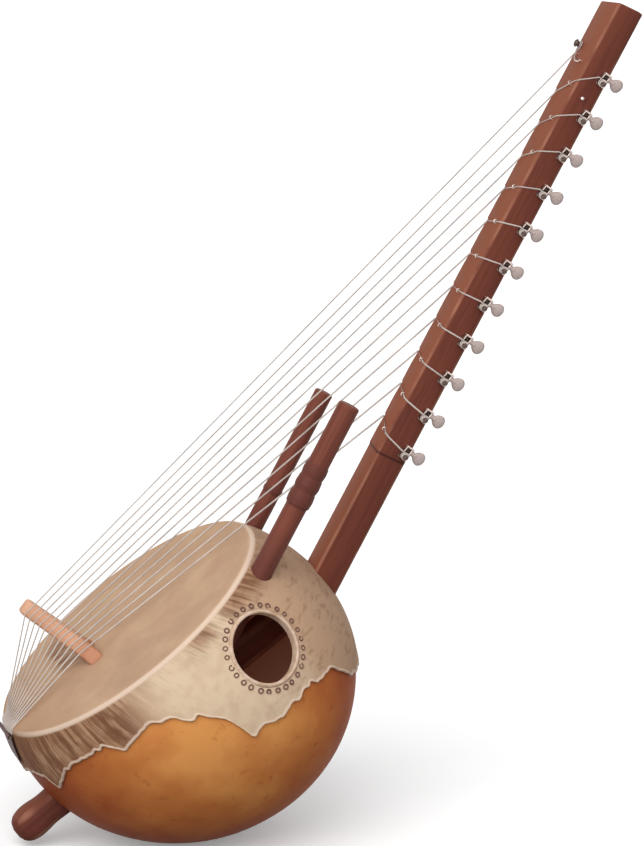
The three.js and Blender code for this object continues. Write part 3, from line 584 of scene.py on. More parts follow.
def dried_calabash(colours):
    """Calabash, scraped, dried and oiled: satin and red-brown, with painted light making its near side golden and
    painted shade darkening it away from there.
    """
    material, node = started("dried_calabash")
    share = partial(shared, node)
    place = node("TexCoord", output="Object")
    outward = node("VectorMath", (place, (0, 0, -GOURD_DROP * MM)), operation="SUBTRACT")
    outward = node("VectorMath", (outward,), operation="NORMALIZE")
    lit_share = node("VectorMath", (outward, LIT_SIDE), "Value", operation="DOT_PRODUCT")
    # Clouds 60 mm wide shift the tone a little either way
    clouds = node("TexNoise", {"Vector": place, "Scale": 15, "Detail": 3})
    cloudy = node("MapRange", (clouds, 0.3, 0.7, -0.12, 0.12))
    # Painted light and shade: golden towards the lit side, red-brown and then deep away from it
    base = node("ValToRGB", (node("Math", (lit_share, cloudy), operation="ADD"),), stops=[
        (0.05, colours.gourd_deep), (0.5, colours.gourd_red), (0.8, colours.gourd), (1.0, colours.gourd_light),
    ])
    # Dark stains 8 mm across, and pale specks of 3 mm where the skin was nicked
    stains = node("TexNoise", {"Vector": place, "Scale": 62, "Detail": 2, "Distortion": 0.5})
    specks = node("TexNoise", {"Vector": place, "Scale": 190, "Detail": 1})
    # Inside, where the wall faces the gourd's middle, the scraped pith is pale
    normal = node("TexCoord", output="Normal")
    inside = share((node("VectorMath", (outward, normal), "Value", operation="DOT_PRODUCT"), -0.2, -0.4))
    base = coated(
        node, base, (share((stains, 0.62, 0.76, 0.5)), colours.gourd_red),
        (share((specks, 0.74, 0.8, 0.45)), colours.gourd_light), (inside, colours.pith),
    )
    # The inside glows a little as painted light, standing in for daylight that soaks through the hide
    return finished(
        material, Base_Color=base, IOR=1.4, Specular_IOR_Level=0.06,
        Roughness=node("MapRange", (stains, 0, 1, 0.42, 0.6)),
        Emission_Color=linear("#B4755F"), Emission_Strength=share(inside, 0.065),
        Normal=embossed(node, (clouds, 0.25, 0.003), (stains, 0.2, 0.0006)),
    )


def stretched_rawhide(colours):
    """Cowhide rawhide, scraped thin and dried on the gourd: matt, cloudy, brown in streaks from its hair side."""
    material, node = started("stretched_rawhide")
    share = partial(shared, node, ease="SMOOTHSTEP")
    place = node("TexCoord", output="Object")
    along, level = (node("SeparateXYZ", (place,), axis) for axis in "XZ")
    skirt = node("UVMap", uv_map="skirt")
    around, hem = (node("SeparateXYZ", (skirt,), axis) for axis in "XY")
    turn = node("Math", (around, 1.0), operation="PINGPONG")
    below = share((level, -0.003, -0.008))
    # The face has clouds 70 mm wide and smaller stains
    clouds = node("TexNoise", {"Vector": place, "Scale": 14, "Detail": 4, "Roughness": 0.55})
    stains = node("TexNoise", {"Vector": place, "Scale": 60, "Detail": 3})
    base = node("ValToRGB", (clouds,), stops=[
        (0.3, colours.hide_shade), (0.5, colours.hide), (0.7, colours.hide_light),
    ])
    # Painted shadow of the bridge and strings: a brown band on the face on the bridge's tail side, streaked along the
    # strings
    away = node("VectorMath", (place, (-0.084, 0.066, 0)), operation="SUBTRACT")
    away = node("VectorMath", (away, (0.022, 0.07, 1)), operation="DIVIDE")
    away = node("VectorMath", (away,), "Value", operation="LENGTH")
    bridge_shadow_streaks = node("Mapping", {"Vector": place, "Scale": (14, 120, 1)})
    bridge_shadow_streaks = node("TexNoise", {"Vector": bridge_shadow_streaks, "Scale": 1, "Detail": 3})
    # The skirt is palest half way round and brown to the tail. It is greyer to the head, which is painted shade
    side = node("ValToRGB", (turn,), stops=[
        (0.0, colours.hide_shade), (0.14, colours.hide_shade), (0.25, colours.hide), (0.34, colours.hide_pale),
        (0.52, colours.hide_pale), (0.6, colours.hide), (0.68, colours.hide_brown), (1.0, colours.hide_brown),
    ])
    # All the way down on the tail half, and in tufts under the rim elsewhere, the hair side's brown is left
    tufts = node("ValToRGB", (turn,), stops=[(stop, (grey, grey, grey, 1)) for stop, grey in (
        (0.0, 0.3), (0.16, 0.3), (0.21, 1), (0.3, 1), (0.345, 0.25), (0.375, 0.8), (0.41, 0.8), (0.45, 0.15),
        (0.55, 0.3),
    )])
    tufts = share(tufts, (level, -0.044, -0.01))
    reach = node("Math", (share((turn, 0.55, 0.64)), tufts), operation="MAXIMUM")
    side = coated(
        node, side, (share((stains, 0.4, 0.75, 0.4)), colours.hide),
        (share((tufts, 0.3, 1.0, 0.75)), colours.hide_brown),
    )
    # It lies in streaks 5 mm wide, over broader ones, that run down and lean with the hair
    leaning = node("Math", (level, -0.5, around), operation="MULTIPLY_ADD")
    run, broad = (
        node("CombineXYZ", (share(leaning, across), share(level, down)))
        for across, down in ((95.0, 15.0), (34.0, 13.0))
    )
    streaks = node("TexNoise", {"Vector": run, "Scale": 1, "Detail": 4, "Roughness": 0.6, "Distortion": 0.3})
    broad = node("TexNoise", {"Vector": broad, "Scale": 1, "Detail": 3, "Roughness": 0.55})
    dark = node("Math", (share((streaks, 0.43, 0.6, 0.85)), share((broad, 0.46, 0.62, 0.95))), operation="MAXIMUM")
    # The head half has faint hair marks that run round it
    marks = node("Mapping", {"Vector": place, "Scale": (60, 60, 150), "Rotation": (0, 0.5, 0)})
    marks = node("TexNoise", {"Vector": marks, "Scale": 1, "Detail": 4})
    # Then the face is darker towards the tail, painted shade darkens the skirt's tail end, the rim, where the skin
    # turns over, has a pale painted highlight, and the cut edge is pale
    base = coated(
        node, base,
        (share((away, 1.25, 0.3), (bridge_shadow_streaks, 0.3, 0.62, 0.85)), colours.hide_dark),
        (share((along, -0.09, -0.19, 0.4)), colours.hide_brown),
        (below, side),
        (share(dark, reach, below), colours.hide_dark),
        (share((streaks, 0.5, 0.34, 0.55), reach, below), colours.hide),
        (share((marks, 0.5, 0.72, 0.4), below, (turn, 0.45, 0.25)), colours.hide_dark),
        # Painted shade on the skirt's tail end
        (share((turn, 0.86, 0.99, 0.5), below), colours.hide_dark),
        # Painted highlight along the rim, where the skin turns over
        (share((level, -0.0072, -0.0042), (level, -0.0004, -0.002), (turn, 1.0, 0.8, 0.85)), colours.hide_edge),
        (share((hem, 0.05, 0.03, 0.7)), colours.hide_edge),
    )
    # Hair pores about 2 mm apart, over the streaks' own relief
    pores = node("TexVoronoi", {"Vector": place, "Scale": 520})
    return finished(
        material, Base_Color=base, Roughness=0.75, IOR=1.4, Specular_IOR_Level=0.3,
        Normal=embossed(node, (streaks, 0.3, 0.0012), (stains, 0.25, 0.0012), (pores, 0.1, 0.0004)),
    )


def oiled_wood(name, light, dark, along=(1, 0, 0), roughness=0.5, gloss=0.08, bands=(), lit_front=None, highlighted=None):
    """Hardwood, planed and oiled: long open grain along the piece, soft sheen, and darker bands, which at the feet
    are painted shade.
    """
    material, node = started(name)
    share = partial(shared, node)
    place = node("TexCoord", output="Object")
    # Growth bands about 6 mm apart, 20 times as long, and pores under a millimetre wide, drawn at 1.5 mm
    laid, fine = (
        node("Mapping", {"Vector": place, "Scale": [long if axis else wide for axis in along]})
        for long, wide in ((6, 130), (18, 650))
    )
    figure = node("TexNoise", {"Vector": laid, "Scale": 1, "Detail": 4, "Roughness": 0.6, "Distortion": 0.7})
    pores = node("ValToRGB", (node("TexNoise", {"Vector": fine, "Scale": 1, "Detail": 2}),),
                 stops=[(0.56, BLACK), (0.7, WHITE)])
    tone = node("ValToRGB", (figure,), stops=[(0.28, dark), (0.52, light), (0.75, light)])
    coats = [(share(pores, 0.35), dark)]
    if lit_front:
        # Painted light makes a neck's front paler, and painted shade darkens its back half
        outward, depth = node("TexCoord", output="Normal"), node("SeparateXYZ", (place,), "Z")
        side, front = (node("SeparateXYZ", (outward,), axis) for axis in "YZ")
        coats += [(share((front, 0.75, 0.95, 0.84)), lit_front), (share((depth, 0.022, -0.024, 0.55)), dark)]
        # The long edges, which face halfway between two sides, get a painted highlight, patchy along them
        halfway = node("Math", (share(side, front),), operation="ABSOLUTE")
        uneven = node("TexNoise", {"Vector": place, "Scale": 22, "Detail": 2})
        patchy = node("MapRange", (uneven, 0.35, 0.65, 0.1, 0.55))
        coats.append((share((halfway, 0.36, 0.49), patchy), highlighted))
    for start, end, soft, colour in bands:
        # A darker band across the piece, with soft ends, which at a piece's foot is painted shade
        length = node("SeparateXYZ", (place,), "XYZ"[along.index(1)])
        rise, fall = (length, (start - soft) * MM, start * MM), (length, (end + soft) * MM, end * MM)
        coats.append((share(rise, fall, 0.7), colour))
    return finished(
        material, Base_Color=coated(node, tone, *coats), IOR=1.4, Specular_IOR_Level=gloss,
        Roughness=node("MapRange", (figure, 0, 1, roughness - 0.07, roughness + 0.1)),
        Normal=embossed(node, (figure, 0.2, 0.0008), (pores, -0.2, 0.0003)),
    )


def plated_metal(name, colour, dull, roughness, base=None):
    """Nickel plate or steel, stamped and handled: bright, with fine wear and duller spots about 3 mm wide.

    A base colour makes the plate darker brown at the foot of a stamped frame."""
    material, node = started(name)
    place = node("TexCoord", output="Object")
    wear = node("TexNoise", {"Vector": place, "Scale": 340, "Detail": 4, "Roughness": 0.7})
    tone = node("ValToRGB", (wear,), stops=[(0.36, dull), (0.56, colour)])
    if base:
        height = node("SeparateXYZ", (place,), "Z")
        tone = coated(node, tone, (shared(node, (height, (PLATE_TOP + 0.6) * MM, (PLATE_TOP + 0.1) * MM, 0.9)), base))
    return finished(
        material, Base_Color=tone, Metallic=1.0,
        Roughness=node("MapRange", (wear, 0, 1, roughness + 0.15, roughness - 0.08)),
        Normal=embossed(node, (wear, 0.08, 0.0002)),
    )


def pearled_plastic(colours):
    """Cellulose plastic, moulded and polished: milky grey with faint swirls about 5 mm wide."""
    material, node = started("pearled_plastic")
    place = node("TexCoord", output="Object")
    swirl = node("TexNoise", {"Vector": place, "Scale": 190, "Detail": 3, "Distortion": 1.6})
    tone = node("ValToRGB", (swirl,), stops=[(0.35, colours.button_shade), (0.62, colours.button)])
    return finished(material, Base_Color=tone, Roughness=0.3, IOR=1.5, Coat_Weight=0.4, Coat_Roughness=0.12,
                    Normal=embossed(node, (swirl, 0.05, 0.0003)))


def drawn_nylon(colours):
    """Nylon, drawn as one filament: grey, smooth, a little worn every few centimetres."""
    material, node = started("drawn_nylon")
    uneven = node("TexNoise", {"Vector": node("TexCoord", output="Object"), "Scale": 24, "Detail": 2})
    tone = node("ValToRGB", (uneven,), stops=[(0.3, colours.string_shade), (0.65, colours.string)])
    return finished(material, Base_Color=tone, Roughness=0.38, IOR=1.53)


def tanned_leather(name, light, dark):
    """Goatskin leather, tanned and waxed: a pebbled grain about 1.5 mm across, darker in its creases."""
    material, node = started(name)
    place = node("TexCoord", output="Object")
    grain = node("TexVoronoi", {"Vector": place, "Scale": 620}, feature="DISTANCE_TO_EDGE")
    wear = node("TexNoise", {"Vector": place, "Scale": 90, "Detail": 3})
    tone = node("ValToRGB", (wear,), stops=[(0.35, dark), (0.65, light)])
    base = coated(node, tone, (node("MapRange", (grain, 0, 0.15, 0.5, 0)), dark))
    return finished(material, Base_Color=base, Roughness=0.62, IOR=1.5,
                    Normal=embossed(node, (grain, 0.4, 0.0005)))


def make_finishes(colours):
    """All of the finishes, made once."""
    if FINISHES:
        return FINISHES
    dark = colours.wood_dark
    # Painted shade darkens the posts' feet and the bridge's foot, where they meet the skin, and the posts' swellings
    # are darker
    near, far = (
        [(-POST_FOOT, 15, 50, dark), (*(post["shares"][end][0] * post["top"] for end in (0, -1)), 3, dark)]
        for post in (NEAR_POST, FAR_POST)
    )
    foot_shade = [(-10, 10, 25, colours.bridge_foot)]
    # Glue and dirt have gathered in the seam between the neck's two lengths
    seam = [(NECK_SEAM - 0.2, NECK_SEAM + 0.6, 2.2, colours.leather_shade)]
    FINISHES.update(
        gourd=dried_calabash(colours),
        hide=stretched_rawhide(colours),
        band=tanned_leather("scraped_rawhide_band", colours.hide_edge, colours.hide),
        ringlet=tanned_leather("twisted_thong", colours.ringlet, dark),
        wood=oiled_wood("oiled_rosewood_neck", colours.wood, dark, gloss=0.04, bands=seam,
                        lit_front=colours.wood_faded, highlighted=colours.wood_rubbed),
        near_post=oiled_wood("oiled_rosewood_near_post", colours.post, dark, gloss=0.18, bands=near),
        far_post=oiled_wood("oiled_rosewood_far_post", colours.post, dark, gloss=0.18, bands=far),
        bridge=oiled_wood("sanded_pale_hardwood", colours.bridge, colours.bridge_shade, (0, 0, 1), bands=foot_shade),
        leather=tanned_leather("waxed_leather", colours.leather, colours.leather_shade),
        nickel=plated_metal("plated_nickel", colours.nickel, colours.nickel_shade, 0.3),
        stamped=plated_metal("stamped_nickel_plate", colours.nickel, colours.nickel_shade, 0.32, colours.plate_foot),
        steel=plated_metal("cut_dark_steel", colours.steel, colours.steel_shade, 0.5),
        button=pearled_plastic(colours),
        nylon=drawn_nylon(colours),
    )
    return FINISHES


# Shapes used by more than one operator, where grow makes a cutter of one

def neck_bar(grow=0):
    low = -NECK_FOOT - grow
    rings = []
    for along in [low, NECK_SEAM] if grow else [lerp(low, NECK_SEAM, share) for share in shares(28)]:
        taken = 0 if grow else carved(along, 3, 0.5)
        rings.append(bar_ring(along, NECK_WIDTH + grow * 2 - taken, NECK_DEPTH + grow * 2 - taken, NECK_BEVEL))
    return loft(rings)


def spike_bar(grow=0):
    """The stub's outline is eased into more stations than the CAD has."""
    stations = []
    for share in shares(26):
        place = share**1.6
        stations.append((place * STUB_LENGTH - STUB_END, eased(STUB_SHARES, place)[0]))
    stations.append((SPIKE_HEAD_END, STUB_SHARES[-1][1]))
    return loft([
        bar_ring(along, SPIKE_WIDTH * share + grow * 2, SPIKE_DEPTH * share + grow * 2,
                 SPIKE_BEVEL * share, -SPIKE_DROP, SPIKE_EASE * share)
        for along, share in stations
    ])


def post_part(post, grow=0):
    radius, top, swellings = post["radius"] + grow, post["top"], post["shares"]
    profile = [(0, -POST_FOOT - grow), (radius, -POST_FOOT - grow)]

    def shaft(low, high, steps):
        """The plain shaft between two places, as the hand tool left it."""
        places = [lerp(low, high, share) for share in shares(steps)]
        return [(radius - carved(along, post["place"][1], 0.35), along) for along in places]

    if not grow:
        profile += shaft(6 - POST_FOOT, swellings[0][0] * top - 2, 11)
        for (a, low), (b, high) in zip(swellings, swellings[1:]):
            for share in shares(4)[:-1]:
                soft = (1 - math.cos(share * math.pi)) / 2
                profile.append((radius * lerp(low, high, soft), lerp(a, b, share) * top))
        profile.append((radius * swellings[-1][1], swellings[-1][0] * top))
        profile += shaft(swellings[-1][0] * top + 3, top - POST_TOP_ROUND * 2, 7)
    for share in shares(6):
        angle = share * math.pi / 2
        profile.append((
            radius - POST_TOP_ROUND * (1 - math.cos(angle)),
            top - POST_TOP_ROUND * (1 - math.sin(angle)),
        ))
    return revolve([*profile, (0, top)], 48, "X")


def body_cutters():
    """What passes through the gourd and the hide."""
    reach, radius = GOURD_WALL + 30, HOLE_RADIUS + BAND_WIDTH
    drum = revolve([(0, -reach), (radius, -reach), (radius, reach), (0, reach)], 96)
    return [
        solid("neck_cutter", neck_bar(CLEARANCE), NECK),
        solid("near_cutter", post_part(NEAR_POST, CLEARANCE), NECK @ shift(*NEAR_POST["place"])),
        solid("far_cutter", post_part(FAR_POST, CLEARANCE), NECK @ shift(*FAR_POST["place"])),
        solid("hole_cutter", drum, sound_hole_frame()),
    ]


# Strings

def string_share(i):
    return i / (STRING_COUNT - 1)


def string_diameter(i):
    return lerp(TREBLE, BASS, string_share(i))


def arrival(i):
    """Where a string comes in over the neck's front."""
    return lerp(HIGHEST_ARRIVAL, LOWEST_ARRIVAL, (i - 1) / (STRING_COUNT - 2))


def turns_about(middle, radius, start, turns, pitch, steps_a_turn):
    points = []
    for share in shares(round(abs(turns) * steps_a_turn)):
        angle = start + share * turns * math.tau
        rise = share * abs(turns) * pitch
        points.append(middle + Vector((radius * math.cos(angle), radius * math.sin(angle), rise)))
    return points


def bridge_edge(i, step):
    height = lerp(HIGHEST_STRING, LOWEST_STRING, string_share(i))
    rise = (height - BRIDGE_FOOT_HEIGHT) / (BRIDGE_HEIGHT - BRIDGE_FOOT_HEIGHT)
    side = lerp(BRIDGE_WAIST, BRIDGE_TOP, rise) / 2
    return Vector((
        -BRIDGE_ALONG - height * math.tan(BRIDGE_LEAN) + step,
        -side - string_diameter(i) / 2 - CLEARANCE,
        height,
    ))


def string_route(i, steps_a_turn):
    """The string's line in the face frame: tail, rim, bridge, neck, then its turns."""
    diameter = string_diameter(i)
    lift, pitch = diameter / 2 + CLEARANCE, diameter + TURN_GAP
    across = lerp(-TAIL_SPREAD / 2, TAIL_SPREAD / 2, string_share(i))
    knot = ROD_ELEVATION + (ROD_RADIUS + CLEARANCE * 2) / HIDE_RADIUS
    edge = BRIDGE_THICKNESS / 2 - BRIDGE_ROUND
    route = [tail_point(on_gourd(knot, HIDE_THICKNESS + CLEARANCE + lift), across)]
    route += [tail_point(on_rim(lerp(RIM_END, math.pi / 2, share), lift), across) for share in shares(4)]
    route += [bridge_edge(i, -edge), bridge_edge(i, edge)]
    if i == 0:
        along = ANCHORED_ARRIVAL + ANCHOR_HEAD_RADIUS * 2
        middle = Vector((along, ANCHOR_SIDE, neck_front(along) + CLEARANCE + diameter))
        radius = ANCHOR_RADIUS + CLEARANCE + diameter / 2
        ending = turns_about(middle, radius, math.pi * 1.4, ANCHOR_TURNS, pitch, steps_a_turn)
    else:
        head = NECK.inverted() @ head_frame(i - 1)
        radius = POST_RADIUS + CLEARANCE + diameter / 2
        middle = Vector((0, -WHEEL_OFFSET, WINDING_LEVEL))
        lead = in_millimetres(head, Vector((-KEEPER_BEND * 2, radius - WHEEL_OFFSET, WINDING_LEVEL)))
        turns = turns_about(middle, radius, math.pi / 2, -POST_TURNS, pitch, steps_a_turn)
        start = arrival(i)
        over, near = lerp(start, lead.x, 0.6), lerp(start, lead.x, 0.7)
        front = max(neck_front(start), neck_front(near))
        side = neck_width(near) / 2
        slack = lift * math.tan(math.pi / 8)
        ending = [
            Vector((start, ARRIVAL_SIDE, front + lift)),
            Vector((over, NECK_BEVEL - side - slack, front + lift)),
            Vector((near, -side - lift, front - NECK_BEVEL + slack)),
            lead,
            *[in_millimetres(head, point) for point in turns],
        ]
    to_face = FACE.inverted() @ NECK
    return route + [in_millimetres(to_face, point) for point in ending]


# What a user would change: what it is, its default, then a size's limits in metres

SIZES = {
    "shell_unevenness": ("Height of the gourd's soft bumps", 0.0005, 0, 0.002),
    "hide_pleats": ("Height of the dried pleats down the hide's skirt", 0.0011, 0, 0.003),
    "hem_bead": ("How far the hide's cut edge curls up", 0.0009, 0, 0.002),
    "ringlet_circle": ("Radius of the circle that the loops stand on", 0.053, 0.05, 0.07),
    "ringlet_size": ("Width of a loop outside", 0.0072, 0.004, 0.01),
    "wire_thickness": ("Diameter of the staples on the neck", 0.0011, 0.0006, 0.002),
}
COLOURS = {
    "gourd": ("Oiled calabash, its middle tone", "#C97A41"),
    # Painted light on the calabash's lit side, and the pale of its nicks
    "gourd_light": ("Calabash on its ripest side, and where it is nicked", "#E39B57"),
    # Between the painted light and shade on the calabash, and its stains
    "gourd_red": ("Calabash round its ripest side", "#A8562E"),
    # Painted shade on the calabash, away from its lit side
    "gourd_deep": ("Calabash away from the sun", "#873D21"),
    "pith": ("Calabash inside, scraped", "#C9997C"),
    "hide": ("Scraped rawhide, its middle tone", "#C39F81"),
    "hide_light": ("Rawhide where it is thin", "#CEAC8B"),
    "hide_pale": ("The palest part of the skirt", "#DFC6A8"),
    # Rawhide where it is thick, and painted shade on the skirt's head end
    "hide_shade": ("Rawhide where it is thick", "#B8967B"),
    "hide_brown": ("Rawhide with its hair side's colour", "#9A6F50"),
    # Brown left from the hair side, and the dark of the painted bridge shadow and of the painted shade at the tail
    # end
    "hide_dark": ("Brown left from the hair side", "#744A33"),
    # Pale rawhide of the cut edge and the band, and the painted highlight along the rim
    "hide_edge": ("Rim and cut edge, rubbed pale", "#E6CDB8"),
    "ringlet": ("Thong loops round the sound hole", "#7E5F50"),
    "wood": ("Oiled rosewood", "#7F4638"),
    # Rosewood as painted light on the neck's front
    "wood_faded": ("Rosewood bleached by the light", "#9B5E46"),
    # Painted highlight along the neck's long edges
    "wood_rubbed": ("Rosewood on its worn edges", "#C28A70"),
    # Rosewood in its grain and darker bands, painted shade on the neck's back half and the posts' feet, and the
    # loops' dark
    "wood_dark": ("Rosewood in its grain and stained bands", "#62372F"),
    "post": ("Rosewood of the hand posts", "#7D4537"),
    "bridge": ("Pale hardwood, sanded", "#E0AE8F"),
    # Painted shade on the bridge's foot
    "bridge_foot": ("Pale hardwood, browned by the skin's grease", "#B4795C"),
    "bridge_shade": ("Pale hardwood in its grain", "#D29F82"),
    "leather": ("Waxed strap", "#5A3B36"),
    "leather_shade": ("Strap in its creases", "#3C2726"),
    "nickel": ("Nickel plate", "#F0E0D8"),
    "nickel_shade": ("Nickel plate where it is dull", "#B5A49C"),
    # The heads' plates, darker brown at a frame's foot
    "plate_foot": ("Brown that gathers on the heads' plates", "#75645D"),
    "steel": ("Cut steel of the worms and wheels", "#6A5A53"),
    "steel_shade": ("Steel where oil has darkened it", "#3A2E2A"),
    "button": ("Pearled plastic", "#C0ADA7"),
    "button_shade": ("Pearled plastic in its swirls", "#AD9A94"),
    "string": ("Nylon filament", "#C9BDB4"),
    "string_shade": ("Nylon where it is worn", "#ADA19B"),
    "floor": ("Plain pale floor", "#FFFFFF"),
    "floor_shade": ("The floor as the object's underside sees it", "#7A7A7A"),
}


def label(name):
    return name.replace("_", " ").capitalize()


class KoraSizes(bpy.types.PropertyGroup):
    __annotations__ = {
        name: FloatProperty(name=label(name), description=text, default=default, min=low, max=high,
                            unit="LENGTH", precision=4)
        for name, (text, default, low, high) in SIZES.items()
    }
    __annotations__["ringlets"] = IntProperty(
        name="Ringlets", description="Thong loops round the sound hole", default=28, min=8, max=60,
    )


class KoraColours(bpy.types.PropertyGroup):
    __annotations__ = {
        name: FloatVectorProperty(name=label(name), description=text, default=linear(colour), size=4,
                                  min=0, max=1, subtype="COLOR")
        for name, (text, colour) in COLOURS.items()
    }


# Operators

class KoraOperator:
    """What the pieces' operators share."""

    bl_options = {"REGISTER", "UNDO"}

    def execute(self, context):
        self.build(context.scene.kora_sizes, make_finishes(context.scene.kora_colours))
        return {"FINISHED"}


class OBJECT_OT_kora_gourd(KoraOperator, bpy.types.Operator):
    """Half calabash, hollow, with the holes for the poles and the sound hole"""

    bl_idname = "object.kora_gourd"
    bl_label = "Gourd"

    def build(self, sizes, finishes):
        bump = sizes.shell_unevenness / MM
        sides, outer_rings, inner_rings = 144, 44, 24
        bottom, opening = -math.pi / 2, GOURD_DROP + RIM_LEVEL
        rim, hollow = math.asin(opening / GOURD_RADIUS), math.asin(opening / (GOURD_RADIUS - GOURD_WALL))
        spots = [(lerp(bottom, rim, share), 0) for share in shares(outer_rings)]
        spots += [(lerp(hollow, bottom, share), -GOURD_WALL) for share in shares(inner_rings)]
        rings = []
        for elevation, lift in spots:
            ring = []
            for angle in angles(sides):
                across = math.cos(elevation)
                way = Vector((across * math.cos(angle), across * math.sin(angle), math.sin(elevation)))
                dent = bump * (noise.noise(way * 3.1) - 0.4) if lift == 0 else 0
                radius, level = on_gourd(elevation, lift + min(dent, 0))
                ring.append(body_point(radius * math.cos(angle), -radius * math.sin(angle), level))
            rings.append(ring)
        shell = solid("calabash_shell", loft(rings, caps=False), FACE)
        cut_away(shell, [*body_cutters(), solid("spike_cutter", spike_bar(CLEARANCE), FACE)])
        dress(shell, finishes["gourd"], nodes=["gourd_shell"])


class OBJECT_OT_kora_hide(KoraOperator, bpy.types.Operator):
    """Rawhide stretched over the opening, turned down over the rim, with dried pleats and a curled hem"""

    bl_idname = "object.kora_hide"
    bl_label = "Hide"

    def outline(self, place, hem, sizes):
        """Radius and level from the middle of the face over the rim to the hem, and back inside."""
        face_rings, rim_rings, skirt_rings = 14, 8, 40
        inner = CLEARANCE + 0.1
        inside = 0.1 - HIDE_THICKNESS
        pleat, bead = sizes.hide_pleats / MM, sizes.hem_bead / MM
        across, along = math.cos(place * math.pi), math.sin(place * math.pi)
        spots = [(RIM_CENTRE * i / face_rings, 0) for i in range(face_rings)]
        spots += [on_rim(lerp(math.pi / 2, RIM_END, share), 0) for share in shares(rim_rings)]
        # The strings at the tail need the skin to lie still under them
        quiet = min(1, max(0, abs(place - 1) - 0.06) * 12)
        for share in shares(skirt_rings)[1:]:
            way = Vector((across * 9, along * 9, share * 1.3))
            fold = max(0, noise.noise(way * 2.2) + 0.5 * noise.noise(way * 5))
            spots.append(on_gourd(
                lerp(RIM_END, hem + 4 / HIDE_RADIUS, share),
                HIDE_LIFT + pleat * fold * quiet * math.sin(share * math.pi * 0.9),
            ))
        curl = bead * (0.7 + 0.6 * noise.noise(Vector((across * 14, along * 14, 5))))
        edge = [(rise, HIDE_LIFT + curl * most) for rise, most in ((3.2, 0.4), (2.2, 1), (1.1, 1), (0.3, 0.3))]
        edge += [(-0.2, HIDE_LIFT - 0.9), (-0.2, HIDE_LIFT - 1.9), (0.4, inner + 0.2), (1.4, inner)]
        spots += [on_gourd(hem + rise / HIDE_RADIUS, lift) for rise, lift in edge]
        spots += [on_gourd(lerp(hem + 3 / HIDE_RADIUS, RIM_END, share), inner) for share in shares(8)]
        spots += [on_rim(lerp(RIM_END, math.pi / 2, share), inside) for share in shares(4)]
        return spots + [(RIM_CENTRE * (1 - share), inside) for share in shares(3)[1:]]

    def build(self, sizes, finishes):
        columns = 420
        made = bmesh.new()
        layer = made.loops.layers.uv.new("skirt")
        lines, grid, hem_levels = [], [], []
        for k in range(columns):
            place = 2 * k / columns
            angle = place * math.pi
            depth = between(NEAR_HEM, place) if place <= 1 else between(FAR_HEM, 2 - place)
            around = Vector((math.cos(angle), math.sin(angle), 0))
            depth += noise.noise(around * 13) * 0.008 + noise.noise(around * 24) * 0.018
            hem = math.asin((GOURD_DROP - depth * HEM_DROP) / HIDE_RADIUS)
            hem_levels.append(on_gourd(hem, HIDE_LIFT)[1])
            lines.append(self.outline(place, hem, sizes))
            grid.append([
                made.verts.new(body_point(radius * math.cos(angle), -radius * math.sin(angle), level) * MM)
                for radius, level in lines[-1]
            ])
        for k in range(columns):
            other = (k + 1) % columns
            for j in range(len(lines[0]) - 1):
                quad = [(k, j), (other, j), (other, j + 1), (k, j + 1)]
                skin = made.faces.new([grid[c][r] for c, r in quad])
                for loop, (c, r) in zip(skin.loops, quad):
                    place = 2 * (k + 1 if c == other else k) / columns
                    loop[layer].uv = (place, (lines[c][r][1] - hem_levels[c]) / 100)
        skin = new_object("stretched_hide", welded("stretched_hide", made), FACE)
        cut_away(skin, body_cutters(), 50)
        dress(skin, finishes["hide"], nodes=["hide"])


class OBJECT_OT_kora_sound_hole(KoraOperator, bpy.types.Operator):
    """Pale band in the sound hole, and the thong loops that are set round it"""

    bl_idname = "object.kora_sound_hole"
    bl_label = "Sound hole band and ringlets"

    def build(self, sizes, finishes):
        place = sound_hole_frame()

        def fall(radius):
            """How far the hide has curved away at a distance from the hole's middle."""
            return math.sqrt(HIDE_RADIUS**2 - radius**2) - HIDE_RADIUS

        inner, outer = HOLE_RADIUS, HOLE_RADIUS + BAND_WIDTH - CLEARANCE
        low = fall(inner) - GOURD_WALL
        profile = [(inner + 0.6, low), (outer, fall(outer) - GOURD_WALL), (outer, fall(outer) + HIDE_LIFT - 0.4)]
        for share in shares(8):
            proud = (BAND_PROUD + 0.5) * math.sin(share * math.pi) ** 0.7 * 0.8
            profile.append((
                lerp(outer - 0.3, inner + 0.1, share), lerp(fall(outer), fall(inner), share) + HIDE_LIFT + proud,
            ))
        profile += [(inner, fall(inner) + HIDE_LIFT - 0.8), (inner, low + 0.6), (inner + 0.6, low)]
        band = solid("sound_hole_lining", revolve(profile, 112), place)
        dress(band, finishes["band"], nodes=["sound_hole_band"])

        size, circle = sizes.ringlet_size / MM, sizes.ringlet_circle / MM
        cord, steps, loops = size * 0.13, 22, []
        for i in range(sizes.ringlets):
            # Each fifth loop is left open
            closed = bool(i % 5)
            seed = noise.noise(Vector((i * 1.7, 4.1, 0)))
            angle = (i + 0.25 * seed) / sizes.ringlets * math.tau
            radius = (size / 2 - cord) * (1 + 0.14 * noise.noise(Vector((i * 2.9, 0, 7.7))))
            span = math.tau if closed else math.tau * 0.84
            start = noise.noise(Vector((i * 0.9, 8.8, 1))) * math.tau
            ring = []
            for share in shares(steps)[: -1 if closed else None]:
                turn = start + share * span
                x = circle + radius * math.cos(turn)
                y = radius * (1 + 0.25 * seed) * math.sin(turn)
                ring.append((x, y, fall(math.hypot(x, y)) + HIDE_THICKNESS + CLEARANCE + cord * 0.75))
            loops.append(moved(tube(ring, cord, 8, closed), Matrix.Rotation(angle, 4, "Z")))
        dress(solid("sound_hole_ringlets", merged(*loops), place), finishes["ringlet"])


